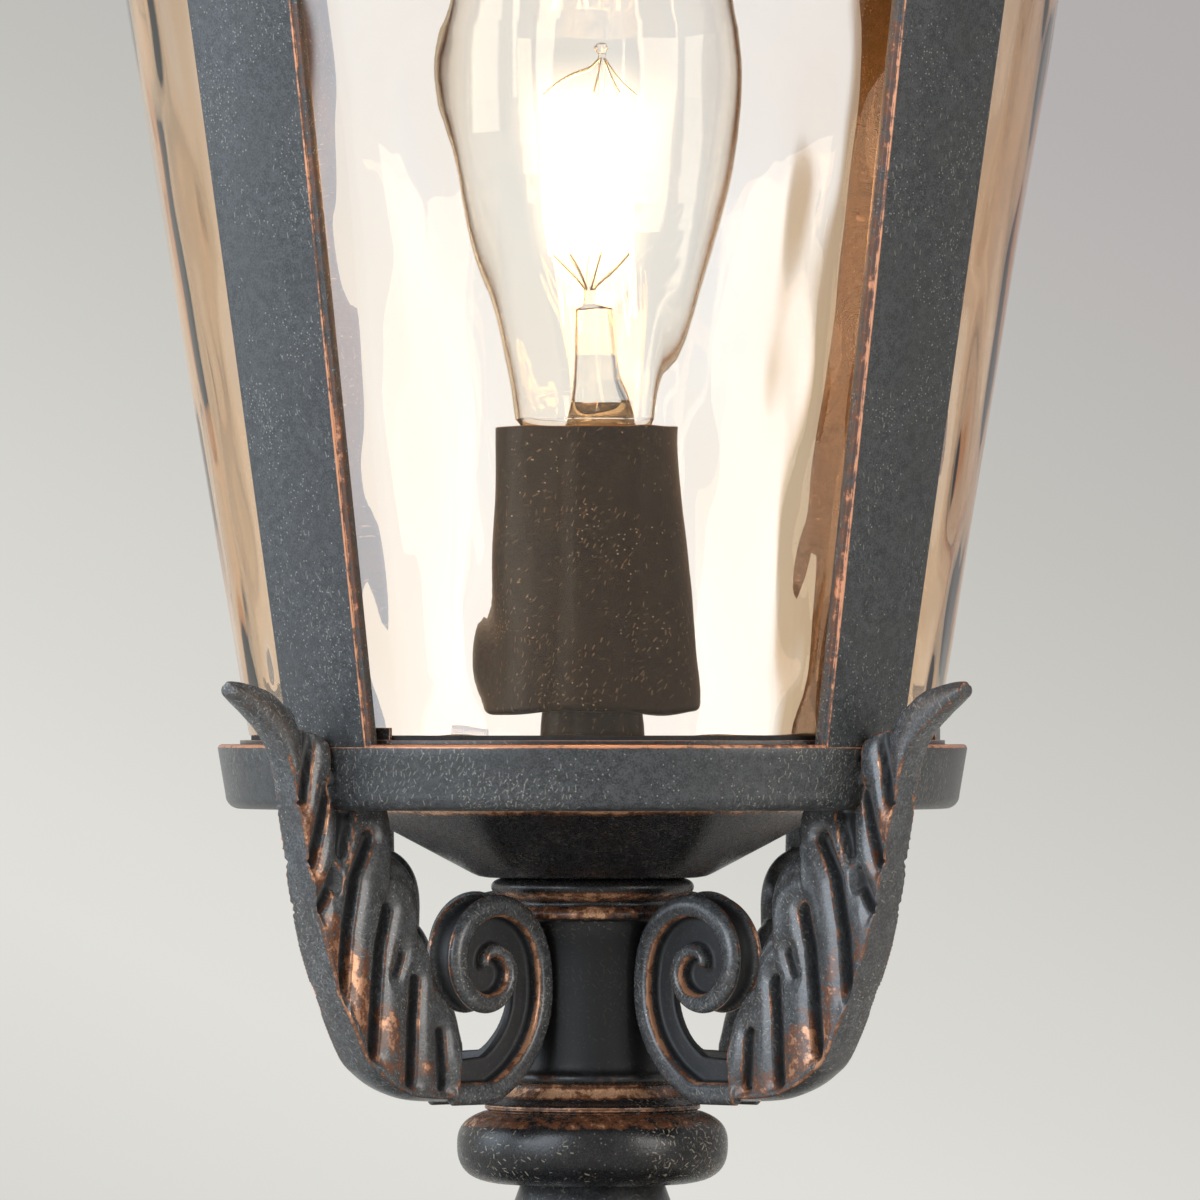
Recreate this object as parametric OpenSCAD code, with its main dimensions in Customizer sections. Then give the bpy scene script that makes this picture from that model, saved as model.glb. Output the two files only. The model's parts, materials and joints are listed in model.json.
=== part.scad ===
// Pillar lantern: a tapered round glass in a cast cage, on a turned stem with four
// acanthus leaf and scroll brackets and a bell foot that screws to the top of a pillar.
// Millimetres, +Z up, with the origin at the centre of the foot's underside.

/* [Foot] */
// Radius of the flange that stands on the pillar
flange_r = 78; // [72:1:90]
// Height of the flange's upright edge
flange_h = 14; // [12:0.5:18]
// Height of the whole foot
foot_h = 74.7; // [68:0.1:90]
// Wall of the foot's casting
foot_wall = 4; // [3:0.25:5]
// Radius of the foot's neck under the torus
neck_r = 15.3; // [14.5:0.1:18]
// Thickness of the mounting plate
plate_t = 2.5; // [2:0.25:4]
// Circle of the holes that bolt the plate down
fixing_pcd = 110; // [96:1:120]
// Radius of each fixing hole
fixing_hole_r = 3.3; // [2.5:0.1:4]
// Radius of the cable's hole through the grommet
cable_r = 4.5; // [3:0.1:6]

/* [Stem] */
// Radius of the torus at its widest
torus_r = 28.9; // [26:0.1:34]
// Height of the torus
torus_h = 15.6; // [13:0.1:20]
// Height of the flared collar on the torus
collar_h = 5.5; // [4:0.1:8]
// Height of the column with its beads
column_h = 44; // [42:0.1:52]
// Radius of the column at its waist
waist_r = 15.5; // [13.5:0.1:16.5]
// Height of the conical cup
cup_h = 14.7; // [12:0.1:20]
// Radius of the conical cup at its rim
cup_r = 51.7; // [45:0.1:58]
// Radius of the threaded tube
tube_r = 5; // [4:0.1:6]
// Wall of the threaded tube
tube_wall = 1.2; // [0.8:0.1:1.4]

/* [Cage] */
// Radius of the gallery ring at its top
ring_r = 80; // [76:0.5:86]
// Height of the gallery ring
ring_h = 13.7; // [13:0.1:18]
// Thickness of the ring's floor
floor_t = 3; // [2:0.25:3.5]
// Height of the windows between ring and top band
window_h = 196; // [185:1:230]
// Growth of the cage's radius for each millimetre of height
cage_flare = 0.168; // [0.14:0.002:0.18]
// Thickness of the bars
bar_t = 4.4; // [3.6:0.1:5]
// Angle that each bar covers
bar_angle = 16.8; // [13:0.2:20]
// Height of the band at the top of the cage
band_h = 16; // [14:0.5:22]
// Width of the strap across the band
bridge_w = 16; // [12:0.5:20]
// Thickness of the strap
bridge_t = 3; // [2:0.25:4]

/* [Glass] */
// Thickness of the glass
glass_t = 3; // [2:0.1:3.6]
// Gap between the glass and the bars
glass_gap = 3.2; // [2.6:0.1:4]
// Thickness of the tray under the glass
tray_t = 0.9; // [0.7:0.1:1.5]
// Thickness of the soft ring under the glass
gasket_t = 1; // [0.8:0.1:2]

/* [Lampholder] */
// Height of the pipe between tray and cover cup
pipe_h = 6; // [3:0.5:10]
// Radius of the pipe
pipe_r = 11.2; // [9:0.1:14]
// Height of the cover cup
cover_h = 60.7; // [58:0.1:66]
// Radius of the cover cup at its foot
cover_r = 22.5; // [21.5:0.1:25]
// Radius of the cover cup at its mouth
cover_mouth_r = 19.4; // [19.2:0.1:20.5]
// Wall of the cover cup
cover_wall = 1.4; // [1:0.1:1.5]

/* [Lamp] */
// Radius of the lamp's screw cap
cap_r = 13; // [12.8:0.05:13.05]
// Radius of the lamp's glass at its widest
bulb_r = 32; // [28:0.5:36]
// Height of the lamp's glass above its cap
bulb_h = 113.6; // [105:0.1:116]
// Thickness of the lamp's glass
bulb_t = 0.9; // [0.6:0.1:1.2]

/* [Brackets] */
// Distance from the scroll's eye to its outer turn on the column's side
scroll_r = 15.2; // [15:0.05:15.4]
// Height of the scroll's eye above the flared collar
scroll_rise = 25.6; // [25:0.1:27]
// Width of the scroll's rim
rim_w = 4.6; // [3.8:0.1:5]
// Thickness of the scroll across its plane
scroll_t = 9.5; // [8:0.1:10.4]
// Thickness of the web inside the scroll
web_t = 3.6; // [2.5:0.1:5]
// Thickness of the leaf along its spine
leaf_t = 10.8; // [10.6:0.1:13]
// Depth of the grooves between the lobes
lobe_groove = 1.3; // [0.6:0.1:1.6]
// Depth of the vein along each lobe
vein_groove = 1; // [0.4:0.1:1.4]

/* [Roof] */
// How far the roof's brim stands out beyond its skirt
brim_over = 7.4; // [5:0.1:16]
// Height of the roof above the cage
roof_h = 72; // [62:0.5:84]
// Wall of the roof
roof_wall = 3; // [2:0.25:4]
// Height of the vented neck on the roof
neck_h = 20; // [16:0.5:26]
// Radius of the vented neck
vent_r = 25; // [22:0.5:28]
// Height of the finial
finial_h = 68; // [58:0.5:80]
// Radius of the finial's ball
finial_r = 15; // [12:0.5:18]
// Radius of the rod that holds the roof
rod_r = 3; // [2.5:0.1:4]
// Length of the rod inside the finial
rod_grip = 12; // [8:0.5:16]

/* [Hidden] */
$fn = 64;

// Gap between a piece and the seat that carries it
seat = 0.3;
// Clearance round a tube, rod or screw in its hole
slide = 0.1;

// Heights of the stack, from the pillar up
z_torus = foot_h;
z_collar = z_torus + torus_h;
z_column = z_collar + collar_h;
z_cup = z_column + column_h;
z_ring = z_cup + cup_h;
z_tray = z_ring + ring_h;
z_pipe = z_tray + tray_t;
z_glass = z_pipe + gasket_t;
z_band = z_tray + window_h;
z_roof = z_band + band_h;

// Colours of the finishes
bronze = "#3b4046";
dark_bronze = "#2c2a28";
steel = "#a7abae";
brass_tone = "#b8954a";
rubber_tone = "#202224";
porcelain = "#e9e4d8";
clear = [0.96, 0.86, 0.66, 0.45];

// Foot
flange_edge_r = 1.5;
step_in = 6.5;
step_h = 2.5;
cove_r = 10;
bead_r = 2.4;
bell_r = flange_r - step_in - cove_r - 1.5;
bell_z = flange_h + step_h + cove_r - 2 * bead_r + 5;
foot_web = 8;
flange_in_r = flange_r - foot_wall;
cavity_h = flange_h - 3;
gasket_r = flange_in_r + foot_wall / 2;
gasket_w = foot_wall / 2;
gasket_h = 1.6;

// Mounting plate and what it carries
plate_r = flange_in_r - 4;
lug_w = 14;
lug_t = 2.5;
lug_gap = 0.3;
side_screw_z = (cavity_h + plate_t) / 2;
side_screw_n = 3;
fixing_n = 3;
grommet_wall = 2.2;
grommet_lip = 2;
gland_r = cable_r + grommet_wall;

// Screws: shank radius, head radius and head height
screw_r = 2;
head_r = 3.6;
head_h = 2.2;
thread_gap = 0.05;

// Terminal block
block_x = -34;
block_l = 32;
block_w = 18;
block_h = 14;
pole_gap = 10;
pole_r = 1.7;
clamp_r = 1.9;
wire_r = 1;
pole_z = plate_t + block_h / 2;

// Nuts and washers on the tube
tube_nut_r = 8.6;
tube_nut_h = 5;
washer_r = 9.6;
washer_t = 1.4;
tube_hole_r = tube_r + slide;

// Ring and cage
ring_taper = 1.7;
ring_corner = 3;
ring_wall = 9;
ring_in_r = ring_r - ring_wall;
edge_step = 0.8;
edge_angle = 0.5;
tray_gap = 0.4;
tab_h = 2.6;
tab_t = 0.8;
tab_angle = 7;
tab_n = 3;
tab_turn = -128.7;
band_wall = 5;
band_lip = 0.8;
bar_root = 1;

// Glass
glass_r = ring_r + cage_flare * (z_glass - z_tray) - bar_t - glass_gap;
z_glass_top = z_band + 2;
glass_h = z_glass_top - z_glass;

// Strap across the top band
lug_drop = 1.4;
lug_reach = 14;
z_bridge_lug = z_glass_top + lug_drop;
lug_h = 6.7;
z_bridge = z_bridge_lug + lug_h;
bridge_r = cage_r(z_bridge) - band_wall - 2;
bridge_screw_x = bridge_r - 5;
rod_nut_r = 5.8;
rod_nut_h = 4;
rod_tail = 0.5;

// Lampholder
cover_floor = 1.6;
z_cover = z_pipe + pipe_h;
z_holder = z_cover + cover_floor + tube_nut_h;
z_mouth = z_cover + cover_h;
body_gap = 0.5;
body_r = cover_mouth_r - cover_wall - body_gap;
body_neck_r = 10.5;
body_neck_h = 8.4;
z_tube_top = z_holder + 7;
chamber_r = 8;
chamber_h = 10;
z_chamber = z_tube_top + seat;
z_floor = z_chamber + chamber_h;
body_floor = 4.5;
z_shell = z_floor + body_floor;
body_sink = 2;
shell_t = 0.8;
shell_in_r = cap_r + 0.35;
shell_r = shell_in_r + shell_t;
contact_h = 3.7;
contact_r = 3;
contact_pin_r = 1.5;

// Lamp
z_tip = z_shell + contact_h + seat;
tip_h = 1;
tip_r = 4.2;
cone_h = 5;
cone_r = 11;
z_cap = z_tip + tip_h + cone_h + seat;
cap_h = 21.2;
cap_wall = 0.4;
z_bulb = z_cap + cap_h;
bulb_neck_r = 14.4;
bulb_root_r = cap_r - cap_wall - seat;
bulb_root_h = 6;
stem_r = bulb_root_r - bulb_t - 0.3;
stem_neck_r = 3.6;
z_pinch = z_bulb + 27;
z_post = z_bulb + 82;
post_r = 1.4;
filament_low = z_bulb + 38;
filament_high = z_bulb + 72;
filament_r_low = 9;
filament_r_high = 11.5;
filament_legs = 14;
filament_wire = 0.45;
lead_wire = 0.5;
lead_gap = 0.15;

// Brackets
rim = rim_w / 2;
scroll_pitch = 10.08;
column_gap = 0.7;
eye = [waist_r + column_gap + rim + scroll_r, z_column + scroll_rise];
eye_r = 3.1;
scroll_swell = 9.3;
scroll_start = -26;
scroll_end = 540;
scroll_step = 15;
web_w = 7.6;
rim_groove = 1.1;
rim_round = 0.9;
corner = [ring_r, z_ring];
leaf_screw_z = z_ring + floor_t + head_r + seat;
leaf_screw_grip = 6;

// Leaf: one row for each line between two lobes, from the tail at the scroll to the tip.
// Points near the scroll are set from its eye and those near the ring from its lower edge.
spine_line = [
    eye + [10.5, -29.8], eye + [20.5, -28], eye + [31.5, -23.6], eye + [41, -15.5],
    corner + [5, -26.5], corner + [10.8, -1.5], corner + [17, 13.5], corner + [33, 25.5]
];
edge_line = [
    eye + [10.8, -18.4], eye + [19.7, -6.6], eye + [26.6, 4.1], corner + [-12, -13.4],
    corner + [0.5, -0.9], corner + [11, 16.5], corner + [21, 25.3], corner + [33, 26.7]
];
// How far each lobe swells beyond the line that joins its two notches
lobe_swell = [2, 1.6, 4.6, 6.5, 5.5, 1, 0.4];
lobed = 5;
// Share of the leaf's thickness along the spine and along the lobed edge
spine_share = [1, 1.02, 1.02, 1, 0.96, 0.78, 0.66, 0.12];
edge_share = [0.94, 0.86, 0.76, 0.68, 0.62, 0.52, 0.34, 0.1];
// Places across one lobe with the height there: crest, vein and the groove between lobes
lobe_steps = [[0, -1, 0], [0.14, 0.1, 0], [0.34, 0.4, 0], [0.5, 0.2, -1], [0.66, 0.4, 0], [0.86, 0.1, 0]];
// Places from spine to edge with the share of the carving there
blade_steps = [[0, 0], [0.18, 1], [0.45, 1], [0.72, 1], [0.92, 0.8], [1, 0.5]];
edge_round = 0.75;
spine_crown = 0.6;

// Roof
roof_gap = 0.3;
skirt_gap = 0.6;
skirt_h = 7;
skirt_wall = 2.6;
skirt_r = cage_r(z_roof) + band_lip + skirt_gap;
brim_r = skirt_r + skirt_wall + brim_over;
z_brim = z_roof + roof_gap;
brim_h = 6;
z_neck = z_brim + roof_h;
z_washer = z_neck + neck_h + seat;
cap_washer_t = 1.5;
cap_washer_r = 9;
z_finial = z_washer + cap_washer_t + seat;
rod_hole_r = rod_r + 0.25;
shield_r = 86;
shield_t = 0.8;
shield_z = z_brim + 16;
shield_grip = 7;
boss_r = 4.5;
boss_pcd = 150;
boss_n = 3;

// Routes of the inner wires
live_route = [
    [-31, 10, pole_z], [-24, 10, pole_z], [-17, 9, 12], [-10, 7, 20], [-4, 4, 32], [0, 2.1, 46],
    [0, 2.1, z_torus - 15], [0, 2.1, z_column], [0, 2.1, z_cup], [0, 2.1, z_tube_top - 9],
    [0, 1.8, z_tube_top + 1], [0, 0.4, z_floor - 1.3]
];
neutral_route = [
    [-31, -10, pole_z], [-24, -10, pole_z], [-17, -9, 12], [-10, -7, 20], [-4, -4, 32],
    [0, -2.1, 46], [0, -2.1, z_torus - 15], [0, -2.1, z_column], [0, -2.1, z_cup],
    [0, -2.1, z_tube_top - 9], [0, -3, z_tube_top + 1], [0, -5, z_floor - 0.4]
];
earth_route = [
    [-31, 0, pole_z], [-24, 0, pole_z], [-16, 1, 11], [-6, 4, 13], [6, 10, 12], [14, 17, 9],
    [19.5, 22, 6.6], [22.5, 25, 5.9]
];
earth_at = [24, 26.5];

// Radius of the cage's outside at a height
function cage_r(z) = ring_r + cage_flare * (z - z_tray);

// Points of a cubic curve through its four handles
function curve(a, b, c, d, n = 8) = [
    for (i = [0:n])
        let (t = i / n, s = 1 - t)
            s * s * s * a + 3 * s * s * t * b + 3 * s * t * t * c + t * t * t * d
];

// Points of an arc about a centre
function arc(c, r, a0, a1, n = 6) = [
    for (i = [0:n])
        let (a = a0 + (a1 - a0) * i / n)
            c + r * [cos(a), sin(a)]
];

// Point of a smooth line through a row of points, x counting the points
function along(row, x) =
    let (
        last = len(row) - 1,
        i = min(floor(x), last - 1),
        t = x - i,
        a = row[max(i - 1, 0)],
        b = row[i],
        c = row[i + 1],
        d = row[min(i + 2, last)]
    )
        0.5 * (2 * b + (c - a) * t + (2 * a - 5 * b + 4 * c - d) * t * t
            + (3 * b - a - 3 * c + d) * t * t * t);

function unit(v) = v / norm(v);

// Triangles that join rings of n points. Each end is one flat face, or where fan is set
// a fan of triangles from the ring's first point
function skin_faces(rings, n, fan = false) = concat(
    fan ? [for (j = [1:n - 2]) [0, j, j + 1]] : [[for (j = [0:n - 1]) j]],
    [for (i = [0:rings - 2], j = [0:n - 1])
        let (k = (j + 1) % n)
            [i * n + k, i * n + j, (i + 1) * n + k]],
    [for (i = [0:rings - 2], j = [0:n - 1])
        let (k = (j + 1) % n)
            [i * n + j, (i + 1) * n + j, (i + 1) * n + k]],
    let (last = (rings - 1) * n)
        fan ? [for (j = [1:n - 2]) [last, last + j + 1, last + j]]
            : [[for (j = [n - 1:-1:0]) last + j]]
);

// Tube swept along a smooth route
module swept(route, r, per = 2, sides = 8) {
    steps = (len(route) - 1) * per;
    centres = [for (i = [0:steps]) along(route, i / per)];
    points = [
        for (i = [0:steps])
            let (
                way = unit(centres[min(i + 1, steps)] - centres[max(i - 1, 0)]),
                side = unit(cross(way, [0.31, 0.95, 0.05])),
                up = cross(way, side)
            )
                for (j = [0:sides - 1])
                    let (a = 360 * j / sides)
                        centres[i] + r * (cos(a) * side + sin(a) * up)
    ];
    polyhedron(points, skin_faces(steps + 1, sides));
}

// Straight round rod between two points
module rod(p, q, r) {
    v = q - p;
    translate(p)
        rotate([0, acos(v[2] / norm(v)), atan2(v[1], v[0])])
            cylinder(h = norm(v), r = r, $fn = 16);
}

// Ring with a plain section
module ring(r_out, r_in, h) {
    difference() {
        cylinder(h = h, r = r_out);
        translate([0, 0, -1])
            cylinder(h = h + 2, r = r_in);
    }
}

// Hexagon nut with its hole
module nut(r, h, hole) {
    difference() {
        cylinder(h = h, r = r, $fn = 6);
        translate([0, 0, -1])
            cylinder(h = h + 2, r = hole);
    }
}

// Pan head screw, head down to -head_h and shank up along +Z from the origin
module pan_screw(length) {
    cylinder(h = length, r = screw_r, $fn = 24);
    rotate_extrude($fn = 32)
        polygon(concat(
            [[0, -head_h]],
            arc([head_r - 1.2, -head_h + 1.2], 1.2, -90, 0, 4),
            [[head_r, 0], [0, 0]]
        ));
}

// Outline of the foot's outside, from the pillar up
function foot_outside() = concat(
    [[flange_r, 0]],
    arc([flange_r - flange_edge_r, flange_h - flange_edge_r], flange_edge_r, 0, 90, 4),
    [[flange_r - step_in, flange_h], [flange_r - step_in, flange_h + step_h]],
    arc([flange_r - step_in, flange_h + step_h + cove_r], cove_r, -90, -160, 6),
    arc([bell_r, bell_z - bead_r], bead_r, -40, 90, 6),
    curve([bell_r - 1.5, bell_z], [bell_r * 0.6, bell_z + 2], [neck_r + 8.2, foot_h - 24],
        [neck_r, foot_h], 12)
);

module base_foot() {
    color(bronze)
        difference() {
            rotate_extrude()
                polygon(concat([[0, 0]], foot_outside(), [[0, foot_h]]));
            rotate_extrude()
                polygon(concat(
                    [[0, -1], [flange_in_r, -1], [flange_in_r, cavity_h],
                        [flange_r - step_in - foot_wall, cavity_h]],
                    curve([bell_r - foot_wall - 1, bell_z - foot_wall],
                        [bell_r * 0.6 - foot_wall, bell_z - 2],
                        [neck_r + 8.2 - foot_wall, foot_h - 26],
                        [neck_r - foot_wall, foot_h - foot_web], 10),
                    [[0, foot_h - foot_web]]
                ));
            translate([0, 0, foot_h - foot_web - 1])
                cylinder(h = foot_web + 2, r = tube_hole_r);
            translate([0, 0, -1])
                ring(gasket_r + gasket_w / 2, gasket_r - gasket_w / 2, gasket_h + 1);
            for (i = [0:side_screw_n - 1])
                rotate([0, 0, 360 * i / side_screw_n])
                    translate([flange_in_r - 2, 0, side_screw_z])
                        rotate([0, 90, 0])
                            cylinder(h = foot_wall + 4, r = screw_r + slide);
        }
}

module base_gasket() {
    color(rubber_tone)
        ring(gasket_r + gasket_w / 2, gasket_r - gasket_w / 2, gasket_h);
}

module mounting_plate() {
    color(steel)
        difference() {
            union() {
                cylinder(h = plate_t, r = plate_r);
                for (i = [0:side_screw_n - 1])
                    rotate([0, 0, 360 * i / side_screw_n])
                        intersection() {
                            union() {
                                translate([0, -lug_w / 2, 0])
                                    cube([flange_in_r, lug_w, plate_t]);
                                translate([flange_in_r - lug_gap - lug_t, -lug_w / 2, 0])
                                    cube([lug_t, lug_w, cavity_h - lug_gap]);
                            }
                            cylinder(h = cavity_h, r = flange_in_r - lug_gap);
                        }
            }
            for (i = [0:side_screw_n - 1])
                rotate([0, 0, 360 * i / side_screw_n])
                    translate([flange_in_r - lug_gap - lug_t - 1, 0, side_screw_z])
                        rotate([0, 90, 0])
                            cylinder(h = lug_t + 2, r = screw_r + thread_gap);
            for (i = [0:fixing_n - 1])
                rotate([0, 0, 60 + 360 * i / fixing_n])
                    translate([fixing_pcd / 2, 0, -1])
                        cylinder(h = plate_t + 2, r = fixing_hole_r);
            translate([0, 0, -1])
                cylinder(h = plate_t + 2, r = gland_r);
            translate([earth_at[0], earth_at[1], -1])
                cylinder(h = plate_t + 2, r = screw_r + thread_gap);
        }
}

module side_screws() {
    color(dark_bronze)
        for (i = [0:side_screw_n - 1])
            rotate([0, 0, 360 * i / side_screw_n])
                translate([flange_r, 0, side_screw_z])
                    rotate([0, -90, 0])
                        pan_screw(foot_wall + lug_t + 2);
}

module cable_grommet() {
    color(rubber_tone)
        rotate_extrude()
            polygon([
                [cable_r, 0], [gland_r - slide, 0], [gland_r - slide, plate_t + slide],
                [gland_r + grommet_lip, plate_t + slide],
                [gland_r + grommet_lip, plate_t + grommet_lip],
                [cable_r + 1, plate_t + grommet_lip + 2], [cable_r, plate_t + grommet_lip + 1]
            ]);
}

module terminal_block() {
    color(porcelain)
        difference() {
            translate([block_x - block_w / 2, -block_l / 2, plate_t])
                union() {
                    cube([block_w, block_l, block_h - 4]);
                    translate([3, 0, 0])
                        cube([block_w - 6, block_l, block_h]);
                }
            for (i = [-1:1])
                translate([block_x - block_w / 2 - 1, i * pole_gap, pole_z])
                    rotate([0, 90, 0])
                        cylinder(h = block_w + 2, r = pole_r, $fn = 24);
            for (i = [-1:1])
                translate([block_x + 3, i * pole_gap, pole_z])
                    cylinder(h = block_h, r = clamp_r + thread_gap, $fn = 24);
            for (i = [-1, 1])
                translate([block_x, i * pole_gap / 2, plate_t - 1])
                    cylinder(h = block_h + 2, r = 1.4, $fn = 24);
        }
}

module terminal_screws() {
    color(brass_tone)
        for (i = [-1:1])
            translate([block_x + 3, i * pole_gap, pole_z + wire_r + 0.2])
                difference() {
                    cylinder(h = block_h / 2 - wire_r - 0.8, r = clamp_r, $fn = 24);
                    translate([-clamp_r - 1, -0.4, block_h / 2 - wire_r - 1.8])
                        cube([2 * clamp_r + 2, 0.8, 2]);
                }
}

module earth_screw() {
    color(brass_tone)
        translate([earth_at[0], earth_at[1], plate_t])
            mirror([0, 0, 1])
                pan_screw(plate_t - 0.2);
}

module foot_washer() {
    color(steel)
        translate([0, 0, foot_h - foot_web - washer_t])
            ring(washer_r, tube_hole_r, washer_t);
}

module foot_nut() {
    color(steel)
        translate([0, 0, foot_h - foot_web - washer_t - tube_nut_h])
            nut(tube_nut_r, tube_nut_h, tube_hole_r);
}

module stem_torus() {
    collar_r = torus_r - 5.9;
    color(bronze)
        rotate_extrude()
            polygon(concat(
                [[tube_hole_r, z_torus], [torus_r - 8, z_torus]],
                curve([torus_r - 6.3, z_torus + 0.3], [torus_r - 1, z_torus + 1.4],
                    [torus_r, z_torus + torus_h * 0.3], [torus_r, z_torus + torus_h * 0.5]),
                curve([torus_r, z_torus + torus_h * 0.55], [torus_r, z_torus + torus_h * 0.76],
                    [torus_r - 1.5, z_collar - 1.8], [collar_r + 0.4, z_collar - 0.4]),
                [[collar_r - 0.6, z_collar - 0.3], [collar_r - 0.6, z_collar],
                    [collar_r, z_collar + 0.3], [collar_r, z_collar + 1]],
                curve([collar_r - 0.5, z_collar + 1.4], [waist_r + 5, z_collar + 1.8],
                    [waist_r + 2.6, z_collar + 3], [waist_r + 2, z_column], 6),
                [[tube_hole_r, z_column]]
            ));
}

// Column: fillet ring, waist, a small bead and the large bead under the cup
module stem_column() {
    foot_ring_r = waist_r + 2.7;
    bead_1 = waist_r + 6.6;
    bead_2 = waist_r + 2.5;
    color(bronze)
        rotate_extrude()
            polygon(concat(
                [[tube_hole_r, z_column], [foot_ring_r - 0.8, z_column]],
                arc([foot_ring_r - 1.3, z_column + 1.5], 1.3, -60, 70, 5),
                curve([waist_r + 1.4, z_column + 3.4], [waist_r + 0.4, z_column + 6],
                    [waist_r, z_column + 12], [waist_r, z_column + 20]),
                curve([waist_r, z_column + 22], [waist_r, z_column + 28],
                    [waist_r + 0.6, z_column + 31], [waist_r + 1.5, z_cup - 9.3]),
                arc([bead_2 - 1.3, z_cup - 7.7], 1.4, -70, 70, 5),
                [[waist_r + 1.2, z_cup - 5.8], [waist_r + 1.2, z_cup - 5]],
                curve([waist_r + 3.4, z_cup - 4.2], [bead_1, z_cup - 3.6],
                    [bead_1 + 0.6, z_cup - 1], [waist_r + 4.3, z_cup - 0.2], 7),
                [[waist_r + 3.6, z_cup], [tube_hole_r, z_cup]]
            ));
}

module bottom_cup() {
    cup_foot_r = 22.5;
    cup_wall = 4;
    color(bronze)
        rotate_extrude()
            polygon([
                [tube_hole_r, z_cup], [cup_foot_r, z_cup], [cup_foot_r + 1.8, z_cup + 0.3],
                [cup_foot_r + 3.2, z_cup + 0.9], [cup_r, z_ring], [cup_r - 2 * cup_wall, z_ring],
                [cup_foot_r - 1, z_cup + cup_wall], [tube_hole_r + cup_wall, z_cup + cup_wall],
                [tube_hole_r + cup_wall, z_ring], [tube_hole_r, z_ring]
            ]);
}

module centre_tube() {
    tube_foot = foot_h - foot_web - washer_t - tube_nut_h - 3;
    color(steel)
        translate([0, 0, tube_foot])
            ring(tube_r, tube_r - tube_wall, z_tube_top - tube_foot);
}

module ring_nut() {
    color(steel)
        translate([0, 0, z_ring + floor_t])
            nut(tube_nut_r, tube_nut_h, tube_hole_r);
}

// Distance of the scroll's middle line from its eye, a degrees on from its lowest point
function scroll_distance(a) =
    scroll_r + scroll_pitch * (90 - a) / 360
        + (a < 90 ? scroll_swell * pow(1 - a / 90, 1.6) : 0);

function scroll_point(a) = eye + scroll_distance(a) * [-sin(a), -cos(a)];

function scroll_normal(a) =
    let (way = unit(scroll_point(a + 1) - scroll_point(a - 1)))
        [way[1], -way[0]];

// Rim of the scroll: a flat bar with rounded corners and a shallow groove round its outside
module scroll_rim() {
    angles = [for (a = [scroll_start:scroll_step:scroll_end]) a];
    c = scroll_t / 2;
    section = [
        [rim - rim_round, c], [rim, c - rim_round], [rim - rim_groove, c * 0.3],
        [rim - rim_groove, -c * 0.3], [rim, -c + rim_round], [rim - rim_round, -c],
        [-rim + rim_round, -c], [-rim, -c + rim_round], [-rim, c - rim_round],
        [-rim + rim_round, c]
    ];
    points = [
        for (a = angles)
            let (
                p = scroll_point(a),
                way = scroll_normal(a),
                out = (scroll_point(a) - eye) * way > 0 ? way : -way,
                thin = 1 - 0.2 * max(0, a - 200) / (scroll_end - 200)
            )
                for (s = section)
                    let (q = p + out * s[0] * thin)
                        [q[0], s[1], q[1]]
    ];
    polyhedron(points, skin_faces(len(angles), len(section)));
}

// Web inside the scroll, with the gap between its foot and the volute left open
module scroll_web() {
    step = 10;
    foot_angles = [for (a = [scroll_start:step:94]) a];
    foot_back = [for (i = [len(foot_angles) - 1:-1:0]) foot_angles[i]];
    turn_angles = [for (a = [90:step:450]) a];
    rotate([90, 0, 0])
        linear_extrude(height = web_t, center = true) {
            polygon(concat(
                [for (a = foot_angles) scroll_point(a)],
                [for (a = foot_back) scroll_point(a) - web_w * unit(scroll_point(a) - eye)]
            ));
            polygon([for (a = turn_angles) scroll_point(a)]);
        }
}

function mix(a, b, t) = a + (b - a) * t;

function at_row(row, x) =
    let (i = min(floor(x), len(row) - 2))
        mix(row[i], row[i + 1], x - i);

// Point of the lobed edge; it lies against the ring and under it, never inside
function edge_point(x) =
    let (
        i = min(floor(x), len(edge_line) - 2),
        t = x - i,
        chord = unit(edge_line[i + 1] - edge_line[i]),
        p = mix(edge_line[i], edge_line[i + 1], t)
            + lobe_swell[i] * pow(abs(sin(180 * t)), 0.7) * [-chord[1], chord[0]],
        under = p[1] < z_ring + 1
    )
        [under ? p[0] : max(p[0], ring_r + seat), p[0] < ring_r + seat / 2 && under
            ? min(p[1], z_ring - seat) : p[1]];

// Half thickness of the leaf at a place along it and across its blade
function leaf_half(x, step, across) =
    let (
        spine = at_row(spine_share, x),
        edge = at_row(edge_share, x),
        base = leaf_t / 2 * mix(spine, edge, across[0]) * (across[0] == 1 ? edge_round : 1),
        carve = (step[1] < 0 ? lobe_groove * step[1] : step[1]) + vein_groove * step[2],
        grooved = x < lobed && !(step[2] < 0 && across[0] == 1)
    )
        max(0.4, base + (grooved ? carve * across[1] : 0));

// Acanthus leaf folded along its spine, both halves carved alike
module leaf() {
    stations = concat(
        [for (i = [0:lobed - 1], s = lobe_steps) [i + s[0], s]],
        [for (x = [lobed:0.25:len(spine_line) - 1]) [x, [0, x > lobed ? 0 : -1, 0]]]
    );
    half = len(blade_steps);
    points = [
        for (s = stations)
            let (
                p = along(spine_line, s[0]),
                q = edge_point(s[0]),
                out = unit(p - q),
                crown = p + out * spine_crown * at_row(spine_share, s[0])
            )
                concat(
                    [[crown[0], 0, crown[1]]],
                    [for (b = blade_steps)
                        let (m = mix(p, q, b[0]))
                            [m[0], leaf_half(s[0], s[1], b), m[1]]],
                    [for (k = [half - 1:-1:0])
                        let (b = blade_steps[k], m = mix(p, q, b[0]))
                            [m[0], -leaf_half(s[0], s[1], b), m[1]]]
                )
    ];
    flat_points = [for (row = points, v = row) v];
    polyhedron(flat_points, skin_faces(len(stations), 2 * half + 1, true));
}

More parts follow.
